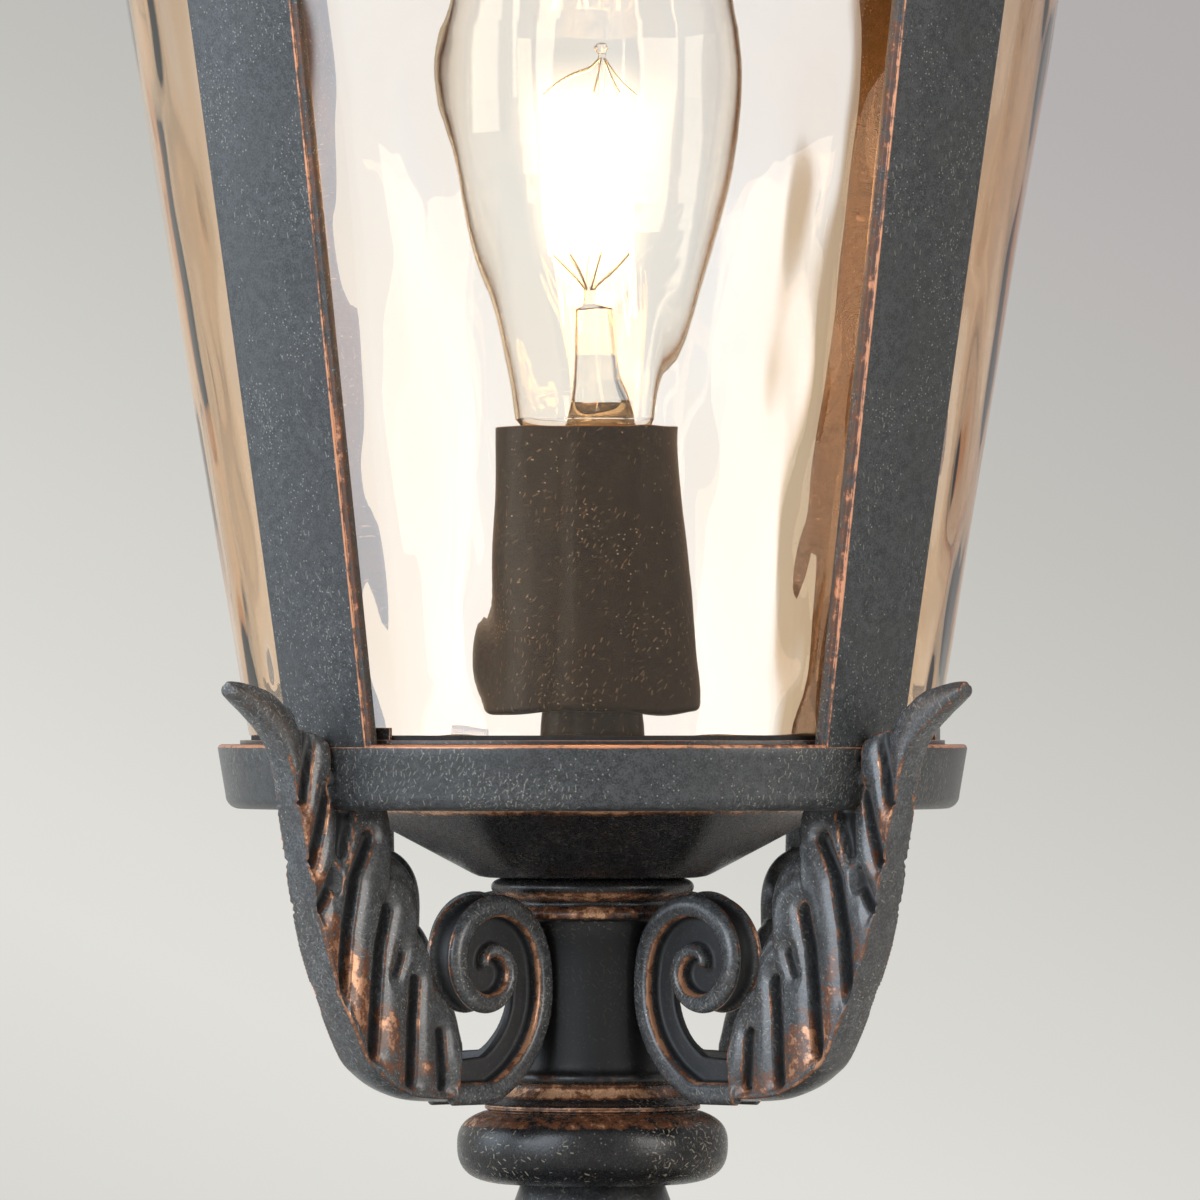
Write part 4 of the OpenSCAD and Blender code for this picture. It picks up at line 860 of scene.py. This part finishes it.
def alongLine(row, x):
    last = len(row) - 1
    i = min(int(x), last - 1)
    t = x - i
    a, b, c, d = (row[max(i - 1, 0)], row[i], row[i + 1], row[min(i + 2, last)])
    return tuple(0.5 * (2 * b[k] + (c[k] - a[k]) * t
                        + (2 * a[k] - 5 * b[k] + 4 * c[k] - d[k]) * t * t
                        + (3 * b[k] - a[k] - 3 * c[k] + d[k]) * t ** 3) for k in (0, 1))


def mix(a, b, t):
    return a + (b - a) * t


def atRow(row, x):
    i = min(int(x), len(row) - 2)
    return mix(row[i], row[i + 1], x - i)


def smoothStep(start, end, value):
    t = min(1, max(0, (value - start) / (end - start)))
    return t * t * (3 - 2 * t)


# One between the second and third limits, nought outside the first and last
def between(value, riseFrom, riseTo, fallFrom, fallTo):
    return smoothStep(riseFrom, riseTo, value) * (1 - smoothStep(fallFrom, fallTo, value))


# The lobed edge, kept clear of the gallery ring
def edgePoint(x):
    i = min(int(x), len(leafEdge) - 2)
    t = x - i
    a, b = leafEdge[i], leafEdge[i + 1]
    length = math.dist(a, b)
    bulge = leafLook["swell"][i] * abs(math.sin(math.pi * t ** 1.2)) ** 0.7
    u = mix(a[0], b[0], t) - bulge * (b[1] - a[1]) / length
    z = mix(a[1], b[1], t) + bulge * (b[0] - a[0]) / length
    if z >= zRing + 1:
        u = max(u, ringRadius + leafLook["ringGap"])
    elif u < ringRadius + leafLook["ringTouch"]:
        z = min(z, zRing - leafLook["ringGap"])
    return u, z


def lineDistance(u, z, points):
    best = math.inf
    for a, b in zip(points, points[1:]):
        du, dz = b[0] - a[0], b[1] - a[1]
        s = min(1, max(0, ((u - a[0]) * du + (z - a[1]) * dz) / (du * du + dz * dz)))
        best = min(best, math.hypot(u - a[0] - s * du, z - a[1] - s * dz))
    return best


# Height of the carved face at a place on the leaf, and how deep in a carved line it lies, which is
# painted as shade
def carving(u, z, t):
    height, deep, near = 0, 0, math.inf
    for half, depth, points in leafLines:
        away = lineDistance(u, z, points)
        near = min(near, away - half)
        inside = 1 - smoothStep(*leafLook["lineWall"], away / half)
        height = min(height, -depth * inside)
        deep = max(deep, inside)
    lip = math.exp(-((near - leafLook["lipAway"]) / leafLook["lipWidth"]) ** 2) * leafLook["lipHeight"]
    height += lip - leafLook["fall"] * math.exp(-max(0, near) / leafLook["fallWidth"])
    return height * smoothStep(-0.02, 0.1, t), deep * smoothStep(0.0, 0.06, t)


def spineAt(x):
    lag = leafLook["lag"] * smoothStep(*leafLook["lagFrom"], x) \
        * (1 - smoothStep(*leafLook["lagTo"], x))
    return alongLine(leafSpine, x - lag)


def bladeHalf(x, t, carve):
    spine = leafLook["halfThickness"] * atRow(leafLook["spineShare"], x)
    edge = leafLook["halfThickness"] * atRow(leafLook["edgeShare"], x)
    half = mix(spine, edge, t) + leafLook["belly"] * math.sin(math.pi * t) + carve
    rolled = max(0, (t - leafLook["rollFrom"]) / leafLook["rollWidth"])
    return max(leafLook["thinnest"], half) - leafLook["roll"] * rolled ** 2


# Place, painted shade and wear on the leaf: a runs from tail to tip, c goes round its section
def leafSpot(a, c):
    x = a * (len(leafSpine) - 1)
    spine, edge = spineAt(x), edgePoint(x)
    blade, rim, strip = leafLook["blade"], leafLook["rim"], leafLook["strip"]
    k = c * (2 * blade + rim + strip)
    lift, side = 0, 1
    length = max(math.dist(spine, edge), 0.01)
    if k <= blade:
        t = k / blade
    elif k < blade + rim:
        t = 1
    elif k <= 2 * blade + rim:
        t, side = 1 - (k - blade - rim) / blade, -1
    else:
        t = 0
    u, z = mix(spine[0], edge[0], t), mix(spine[1], edge[1], t)
    carve, deep = carving(u, z, t)
    w = side * bladeHalf(x, t, carve)
    if blade < k < blade + rim:
        s = (k - blade) / rim
        w *= math.cos(math.pi * s)
        free = 1 - between(x, *leafLook["held"])
        lift = -leafLook["edgeRound"] * math.sin(math.pi * s) * mix(leafLook["heldRound"], 1, free) \
            * (1 - leafLook["tipFlatShare"] * smoothStep(*leafLook["tipFlat"], x))
        deep = 0
    elif k > 2 * blade + rim:
        s = (k - 2 * blade - rim) / strip
        w *= 2 * s - 1
        lift = leafLook["crown"] * math.sin(math.pi * s) * atRow(leafLook["spineShare"], x)
    u += lift * (spine[0] - edge[0]) / length
    z += lift * (spine[1] - edge[1]) / length
    ridge = between(t, *leafLook["rubbedAcross"]) * (1 - deep) * (x < leafLook["rubbedTo"])
    return Vector((u, w, z)) * mm, deep, leafLook["rubbed"] * ridge


def leafPlace(a, c):
    return leafSpot(a, c)[0]


# From the eye to the middle of the rim
def scrollDistance(angle):
    turnIn = scrollLook["turnIn"]
    reach = scrollLook["radius"] + scrollLook["pitch"] * (90 - min(angle, turnIn)) / 360
    if angle < 0:
        return scrollDistance(0) / math.cos(math.radians(angle))
    if angle < scrollLook["swellTo"]:
        reach += scrollLook["swell"] * (1 - angle / scrollLook["swellTo"]) ** 1.6
    if angle > turnIn:
        inward = ((angle - turnIn) / (scrollLook["end"] - turnIn)) ** 0.8
        reach *= mix(1, scrollLook["innerShare"], inward)
    return reach


def scrollPoint(angle):
    turn = math.radians(angle)
    distance = scrollDistance(angle)
    return Vector((leafLook["eye"][0] - distance * math.sin(turn),
                   leafLook["eye"][1] - distance * math.cos(turn)))


# Half of the rim's section: outwards from its middle line, and across the bracket's plane
rimSection = [(-1.0, 0.0), (-1.0, 0.72), (-0.72, 0.94), (-0.2, 1.0), (0.4, 0.97), (0.82, 0.84),
              (1.0, 0.66), (0.92, 0.52), (0.55, 0.4), (0.3, 0.2), (0.26, 0.0)]


# Paint of the rim by points of its section: the groove lies deep and, with the joint to the web, gets
# painted shade; the inner edge is rubbed
rimPaintLook = {"groove": (7.3, 8.6), "joint": (0.55, 0.9), "rubbed": (0.85, 1.05, 1.5, 2.0),
                "wear": 0.9}


def alongSection(c):
    return (c if c <= 0.5 else 1 - c) * 2 * (len(rimSection) - 1)


def rimPlace(a, c):
    look = scrollLook
    angle = mix(look["start"], look["end"], a)
    middle = scrollPoint(angle)
    way = (scrollPoint(angle + 1) - scrollPoint(angle - 1)).normalized()
    out = Vector((way.y, -way.x))
    if out.dot(middle - Vector(leafLook["eye"])) < 0:
        out = -out
    side = 1 if c <= 0.5 else -1
    s, w = alongLine(rimSection, alongSection(c))
    taper = 1
    for start, end, share in look["tapers"]:
        taper -= share * smoothStep(start, end, angle)
    closing = math.sqrt(max(0.02, 1 - smoothStep(*look["tip"], angle) ** 2))
    if angle > look["rounded"][0]:
        full = max(s, math.copysign(math.sqrt(max(0, 1 - w ** 4)), s))
        s = mix(s, full, smoothStep(*look["rounded"], angle))
    place = middle + out * s * look["rim"] * taper * closing
    narrow = mix(1, look["narrowShare"], smoothStep(*look["narrow"], angle))
    across = side * w * look["thickness"] / 2 * narrow * closing
    return Vector((place.x, across, place.y)) * mm


def rimPaint(c):
    look, k = rimPaintLook, alongSection(c)
    deep = max(smoothStep(*look["groove"], k), 1 - smoothStep(*look["joint"], k))
    return deep, look["wear"] * between(k, *look["rubbed"])


# A point on the face of the thin web, at an angle and a reach from the eye
def webPoint(angle, reach, side):
    turn = math.radians(angle)
    return Vector((leafLook["eye"][0] - reach * math.sin(turn),
                   side * scrollLook["webThickness"] / 2,
                   leafLook["eye"][1] - reach * math.cos(turn))) * mm


def webPlace(first, last, width):
    corners = [(0, 1), (1, 1), (1, -1), (0, -1)]

    def place(a, c):
        angle = mix(first, last, a)
        distance = scrollDistance(angle)
        outer, side = corners[round(c * 4) % 4]
        return webPoint(angle, distance if outer else max(0, distance - width), side)
    return place


# Paint of every spot of the bracket, to be found again after it is remeshed
def bracketPaint(columns):
    spots = []
    for i in range(leafLook["rows"]):
        for j in range(0, columns, 2):
            spots.append(leafSpot(i / (leafLook["rows"] - 1), j / (columns - 1)))
    paintRows, paintColumns = scrollLook["paintRows"], scrollLook["paintColumns"]
    for i in range(paintRows):
        for j in range(paintColumns):
            c = j / (paintColumns - 1)
            spots.append((rimPlace(i / (paintRows - 1), c), *rimPaint(c)))
    inRim = scrollLook["rim"]
    web = [(angle, scrollDistance(angle) - inRim - scrollLook["webWidth"] * step / 7)
           for angle in range(-22, 96, 3) for step in range(8)]
    web += [(angle, (scrollDistance(max(angle, 90)) - inRim) * step / 13)
            for angle in range(0, 360, 6) for step in range(1, 13)]
    # Painted shade: the recessed web inside the scroll is painted fully dark
    spots += [(webPoint(angle, reach, side), 1.0, 0.0) for angle, reach in web for side in (-1, 1)]
    tree = kdtree.KDTree(len(spots))
    for i, spot in enumerate(spots):
        tree.insert(spot[0], i)
    tree.balance()
    return tree, spots


def paintBracket(bracket, tree, spots):
    wear = bracket.data.attributes["wear"].data
    deep = bracket.data.attributes.new("deep", "FLOAT", "POINT").data
    for vertex in bracket.data.vertices:
        place, inLine, rubbed = spots[tree.find(vertex.co)[1]]
        # painted shade in the carved lines, the rim's groove and the web
        deep[vertex.index].value = inLine
        wear[vertex.index].value = max(0.5 * wear[vertex.index].value * (1 - inLine), rubbed)


def makeBrackets():
    columns = 2 * leafLook["blade"] + leafLook["rim"] + leafLook["strip"]
    rimColumns = 4 * (len(rimSection) - 1)
    leaf = gridTube("leafBlade", leafLook["rows"], columns, leafPlace)
    rim = gridTube("scrollRim", scrollLook["rows"], rimColumns, rimPlace)
    foot = gridTube("scrollFoot", 24, 4, webPlace(*scrollLook["foot"], scrollLook["webWidth"]))
    disc = gridTube("scrollDisc", 72, 4, webPlace(*scrollLook["disc"], scrollLook["discWidth"]))
    bracket = joinPieces("bracket", [leaf, rim, foot, disc])
    useModifier(bracket, "REMESH", mode="VOXEL", voxel_size=leafLook["voxel"] * mm)
    useModifier(bracket, "SMOOTH", factor=0.5, iterations=1)
    markWear(bracket, *leafLook["wear"])
    paintBracket(bracket, *bracketPaint(columns))
    places = {"leaf_front_right": -45, "leaf_back_right": 45, "leaf_back_left": 135,
              "leaf_front_left": -135}
    for node, turn in places.items():
        piece = bracket.copy()
        piece.data = bracket.data.copy()
        piece.name = "bracket" + "".join(word.title() for word in node.split("_")[1:])
        scene.collection.objects.link(piece)
        piece.data.transform(Matrix.Rotation(math.radians(turn), 4, "Z"))
        finishPiece(piece, "leafBronzeLit", "root", "cast_finish", node, smooth=60)
    bpy.data.objects.remove(bracket)


makeBrackets()
print("brackets are carved")


# Stem: torus with its collar, column with its beads, cup. Each band is rubbed, and the column is
# darkened with painted shade, between two heights and by an amount from 0 to 1
stemLook = {
    "torusRadius": 28.9, "torusHeight": 15.6, "collarInset": 5.9, "columnHeight": 44.0,
    "cupFoot": 22.5, "cupRadius": 51.7, "cupHeight": 14.7, "cupFloor": 4,
    "wear": (0.3, 2.4, 1), "cupWear": (0.4, 2.4, 1),
    "shade": (99.0, 129.0, 0.95), "shadeFade": 3,
    "bands": ((87.0, 90.4, 0.5), (93.0, 95.4, 0.85), (131.2, 133.8, 0.6), (135, 136.8, 0.7)),
    "bandFade": 0.5,
}


def inBand(height, first, last, fade):
    return between(height, first - fade, first + fade, last - fade, last + fade)


def rubBands(piece, look):
    layer = piece.data.attributes["wear"].data
    for vertex, worn in zip(piece.data.vertices, layer):
        for first, last, value in look["bands"]:
            rubbed = value * inBand(vertex.co.z / mm, first, last, look["bandFade"])
            worn.value = max(worn.value, rubbed)


def makeBead(look):
    r, h, waist = look["torusRadius"], look["torusHeight"], waistRadius
    collar, top = r - look["collarInset"], zColumn - zTorus
    outline = [(tubeHole, 0), (r - 8, 0)] \
        + bezier((r - 6.3, 0.3), (r - 1, 1.4), (r, h * 0.3), (r, h * 0.5), 10) \
        + bezier((r, h * 0.55), (r, h * 0.76), (r - 1.5, h - 1.8), (collar + 0.4, h - 0.4), 12) \
        + [(collar - 0.6, h - 0.3), (collar - 0.6, h), (collar, h + 0.3), (collar, h + 1)] \
        + bezier((collar - 0.5, h + 1.4), (waist + 5, h + 1.8), (waist + 2.6, h + 3),
                 (waist + 2, top), 8) \
        + [(tubeHole, top)]
    bead = turned("stemBead", raised(outline, zTorus))
    finishPiece(bead, "beadBronzeShaded", "root", "cast_finish", "stem_torus", wear=look["wear"])
    rubBands(bead, look)


def makeColumn(look):
    h, waist = look["columnHeight"], waistRadius
    outline = [(tubeHole, 0), (waist + 1.9, 0)] \
        + arcLine((waist + 1.4, 1.5), 1.3, -60, 70, 8) \
        + bezier((waist + 1.4, 3.4), (waist + 0.4, 6), (waist, 12), (waist, 20), 12) \
        + bezier((waist, 22), (waist, 28), (waist + 0.6, 31), (waist + 1.5, h - 9.3), 12) \
        + arcLine((waist + 1.2, h - 7.7), 1.4, -70, 70, 8) \
        + [(waist + 1.2, h - 5.8), (waist + 1.2, h - 5)] \
        + bezier((waist + 3.4, h - 4.2), (waist + 6.6, h - 3.6), (waist + 7.2, h - 1),
                 (waist + 4.3, h - 0.2), 12) \
        + [(waist + 3.6, h), (tubeHole, h)]
    column = turned("stemColumn", raised(outline, zColumn))
    finishPiece(column, "stemBronzeShaded", "root", "cast_finish", "stem_column", wear=look["wear"])
    rubBands(column, look)
    # Painted shade: the column is darkened between the heights of its shade band
    deep = column.data.attributes.new("deep", "FLOAT", "POINT").data
    first, last, value = look["shade"]
    for vertex, shaded in zip(column.data.vertices, deep):
        shaded.value = value * inBand(vertex.co.z / mm, first, last, look["shadeFade"])


def makeCup(look):
    foot, rim, h, floor = look["cupFoot"], look["cupRadius"], look["cupHeight"], look["cupFloor"]
    outline = [(tubeHole, 0), (foot, 0), (foot + 1.8, 0.3), (foot + 3.2, 0.9)] \
        + [(mix(foot + 3.2, rim, i / 8), mix(0.9, h, i / 8)) for i in range(1, 9)] \
        + [(rim - 8, h), (foot - 1, floor), (tubeHole + 4, floor), (tubeHole + 4, h), (tubeHole, h)]
    cup = turned("stemCup", raised(outline, zCup))
    finishPiece(cup, "stemBronzeShaded", "root", "cast_finish", "bottom_cup", wear=look["cupWear"])


makeBead(stemLook)
makeColumn(stemLook)
makeCup(stemLook)
print("stem is turned")


# Cage: gallery ring, four bars and the top band with its two lugs, in millimetres and degrees
cageLook = {
    "ringHeight": 13.7, "ringWall": 9.0, "corner": 3.0, "taper": 1.7, "floor": 3.0, "lip": 0.5,
    "barAngle": 17.6, "barThickness": 3.4, "barTurns": (45, 135, 225, 315), "barRoot": 1,
    "edgeStep": 0.8, "edgeAngle": 0.5,
    "bandHeight": 16.0, "bandWall": 5.0, "bandLip": 0.8,
    "lugReach": 14.0, "lugRoot": 1, "lugRise": 3.4, "lugWidth": 16.0, "lugHeight": 6.7,
    "ledgeWear": 0.48, "frontWear": 0.95, "sideWear": 0.42,
}


def makeBar(turn, look):
    thick, step = look["barThickness"], look["edgeStep"]
    half, inner = look["barAngle"] / 2, look["barAngle"] / 2 - look["edgeAngle"]
    section = [(-half, thick), (-half, step), (-inner, step), (-inner, 0)] \
        + [(mix(0.3 - inner, inner - 0.3, i / 8), 0) for i in range(9)] \
        + [(inner, 0), (inner, step), (half, step), (half, thick)] \
        + [(mix(half, -half, i / 8), thick) for i in range(1, 8)]

    def place(a, c):
        angle, depth = section[round(c * len(section)) % len(section)]
        z = mix(zTray - look["barRoot"], zRoof - look["bandHeight"] + look["barRoot"], a)
        radius = cageRadius(z) - depth
        direction = math.radians(turn + angle)
        return Vector((radius * math.cos(direction), radius * math.sin(direction), z)) * mm
    bar = gridTube("bar", 90, len(section), place)
    useModifier(bar, "BEVEL", width=0.3 * mm, segments=2, limit_method="ANGLE",
                angle_limit=math.radians(40))
    return bar


# Each bar's window edges are rubbed bright and the ledge beside them brown; the ring is scuffed
def markBars(cage, look):
    layer = cage.data.attributes["wear"].data
    scuff = cage.data.attributes.new("scuff", "FLOAT", "POINT").data
    for vertex, worn in zip(cage.data.vertices, layer):
        z = vertex.co.z / mm
        scuff[vertex.index].value = 1 - smoothStep(zTray - 3, zTray + 2, z)
        if z < zTray + 0.4 or z > zRoof - look["bandHeight"]:
            continue
        angle = math.degrees(math.atan2(vertex.co.y, vertex.co.x)) % 90 - 45
        depth = cageRadius(z) - math.hypot(vertex.co.x, vertex.co.y) / mm
        aside = look["barAngle"] / 2 - abs(angle)
        # the front and back windows are rubbed brighter than the side ones
        towardsFront = abs(vertex.co.y) > abs(vertex.co.x)
        if aside > look["edgeAngle"] + 0.28 or depth > look["edgeStep"] + 0.5:
            worn.value = 0
        elif depth > 0.3 and aside < look["edgeAngle"]:
            worn.value = look["ledgeWear"]
        else:
            worn.value = look["frontWear"] if towardsFront else look["sideWear"]


def makeLug(side, look):
    foot = zRoof - look["bandHeight"] + look["lugRise"]
    middle = cageRadius(foot) - look["bandWall"] - look["lugReach"] / 2 + look["lugRoot"]
    deselectAll()
    bpy.ops.mesh.primitive_cube_add(size=1, location=(side * middle * mm, 0,
                                                      (foot + look["lugHeight"] / 2) * mm))
    lug = freshObject("lug")
    lug.scale = ((look["lugReach"] + 2 * look["lugRoot"]) * mm, look["lugWidth"] * mm,
                 look["lugHeight"] * mm)
    bpy.ops.object.transform_apply(location=True, rotation=True, scale=True)
    useModifier(lug, "BEVEL", width=0.8 * mm, segments=2)
    return lug


def makeCage(look):
    r, h, zBand = ringRadius, look["ringHeight"], zRoof - look["bandHeight"]
    corner, foot = look["corner"], r - look["taper"]
    ring = [(tubeHole, 0)] + arcLine((foot - corner, corner), corner, -90, 0, 8) \
        + [(mix(foot, r, i / 5), mix(corner, h - 0.6, i / 5)) for i in range(1, 6)] \
        + [(r - look["lip"], h), (r - look["ringWall"], h), (r - look["ringWall"], look["floor"]),
           (tubeHole, look["floor"])]
    inside, outside = -look["bandWall"], look["bandLip"]
    band = [(cageRadius(zBand) + inside, zBand), (cageRadius(zBand) + outside, zBand),
            (cageRadius(zRoof) + outside, zRoof), (cageRadius(zRoof) + inside, zRoof)]
    parts = [turned("ring", raised(ring, zRing), bevel=0.35), turned("band", band, bevel=0.5)]
    parts += [makeBar(turn, look) for turn in look["barTurns"]]
    parts += [makeLug(side, look) for side in (-1, 1)]
    cage = joinPieces("cageCasting", parts)
    finishPiece(cage, "barBronzeLit", "root", "cast_finish", "cage", wear=(0.25, 1.2, 0))
    markBars(cage, look)


makeCage(cageLook)
print("cage is cast")


# Lantern glass: a tapered tube with long upright ripples on both faces
glassLook = {
    "wall": 3.0, "footRadius": 73.6, "height": 196.0, "rows": 84, "columns": 360,
    "lip": 1.5, "lipSteps": 5,
    "outerRipple": 0.42, "innerRipple": 0.4, "outerSeed": 2.3, "innerSeed": 7.9,
    "across": 10.0, "along": 40.0, "outerInset": 0.7, "calmEnds": 14,
    # barReach, barWave, leftReach and fade place the edge of the painted glow beside the bars, in
    # degrees
    "barReach": 9.5, "barWave": 5.0, "leftReach": 1.5, "fade": 1.2,
}


def ripple(direction, z, seed, look):
    turns = look["footRadius"] / look["across"]
    point = Vector((math.cos(direction) * turns, math.sin(direction) * turns + seed,
                    z / look["along"]))
    slow = noise.noise(point)
    quick = noise.noise(point * 2.1 + Vector((seed, 3.7, 9.1)))
    return 0.85 * slow + 0.15 * quick


def makeGlass(look):
    rows, steps, lip = look["rows"], look["lipSteps"], look["lip"]
    total = 2 * rows + steps + 1
    top = look["height"]

    def place(a, c):
        direction = math.tau * c
        k = round(a * total)
        if k <= rows:
            z, depth, face = k / rows * (top - lip), 0, "outer"
        elif k < rows + steps:
            turn = math.pi * (k - rows) / steps
            z, depth, face = top - lip + lip * math.sin(turn), lip - lip * math.cos(turn), "lip"
        elif k < total:
            z, depth, face = (2 * rows + steps - k) / rows * (top - lip), look["wall"], "inner"
        else:
            z, depth, face = 0, 0, "outer"
        radius = look["footRadius"] + cageFlare * z - depth
        ease = smoothStep(0, look["calmEnds"], z) * smoothStep(0, look["calmEnds"], top - 1 - z)
        if face == "outer":
            wave = ease * ripple(direction, z, look["outerSeed"], look)
            radius += look["outerRipple"] * (wave - look["outerInset"])
        elif face == "inner":
            radius += ease * look["innerRipple"] * ripple(direction, z, look["innerSeed"], look)
        return Vector((radius * math.cos(direction), radius * math.sin(direction), zGlass + z)) * mm
    glass = gridTube("rippledGlass", total, look["columns"], place, fillEnds=False)
    inner = glass.data.attributes.new("inner", "FLOAT", "POINT")
    # painted light: the inner face is given a glow between the bars, nearer to them on the left, held
    # in the "inner" attribute
    shares = []
    for v in glass.data.vertices:
        depth = look["footRadius"] + cageFlare * (v.co.z / mm - zGlass) \
            - math.hypot(v.co.x, v.co.y) / mm
        aside = abs(math.degrees(math.atan2(v.co.y, v.co.x)) % 90 - 45)
        wave = look["barWave"] * noise.noise((v.co.x * 14, v.co.y * 14, v.co.z * 16))
        reach = look["barReach"] + wave if v.co.x > 0 else look["leftReach"]
        glowing = smoothStep(reach - look["fade"], reach + look["fade"], aside)
        shares.append(glowing if depth > look["wall"] / 2 else 0.0)
    inner.data.foreach_set("value", shares)
    finishPiece(glass, "lanternGlass", "root", "lantern_glass", "glass", smooth=50)


makeGlass(glassLook)
print("glass is blown")


bpy.ops.object.select_all(action="DESELECT")
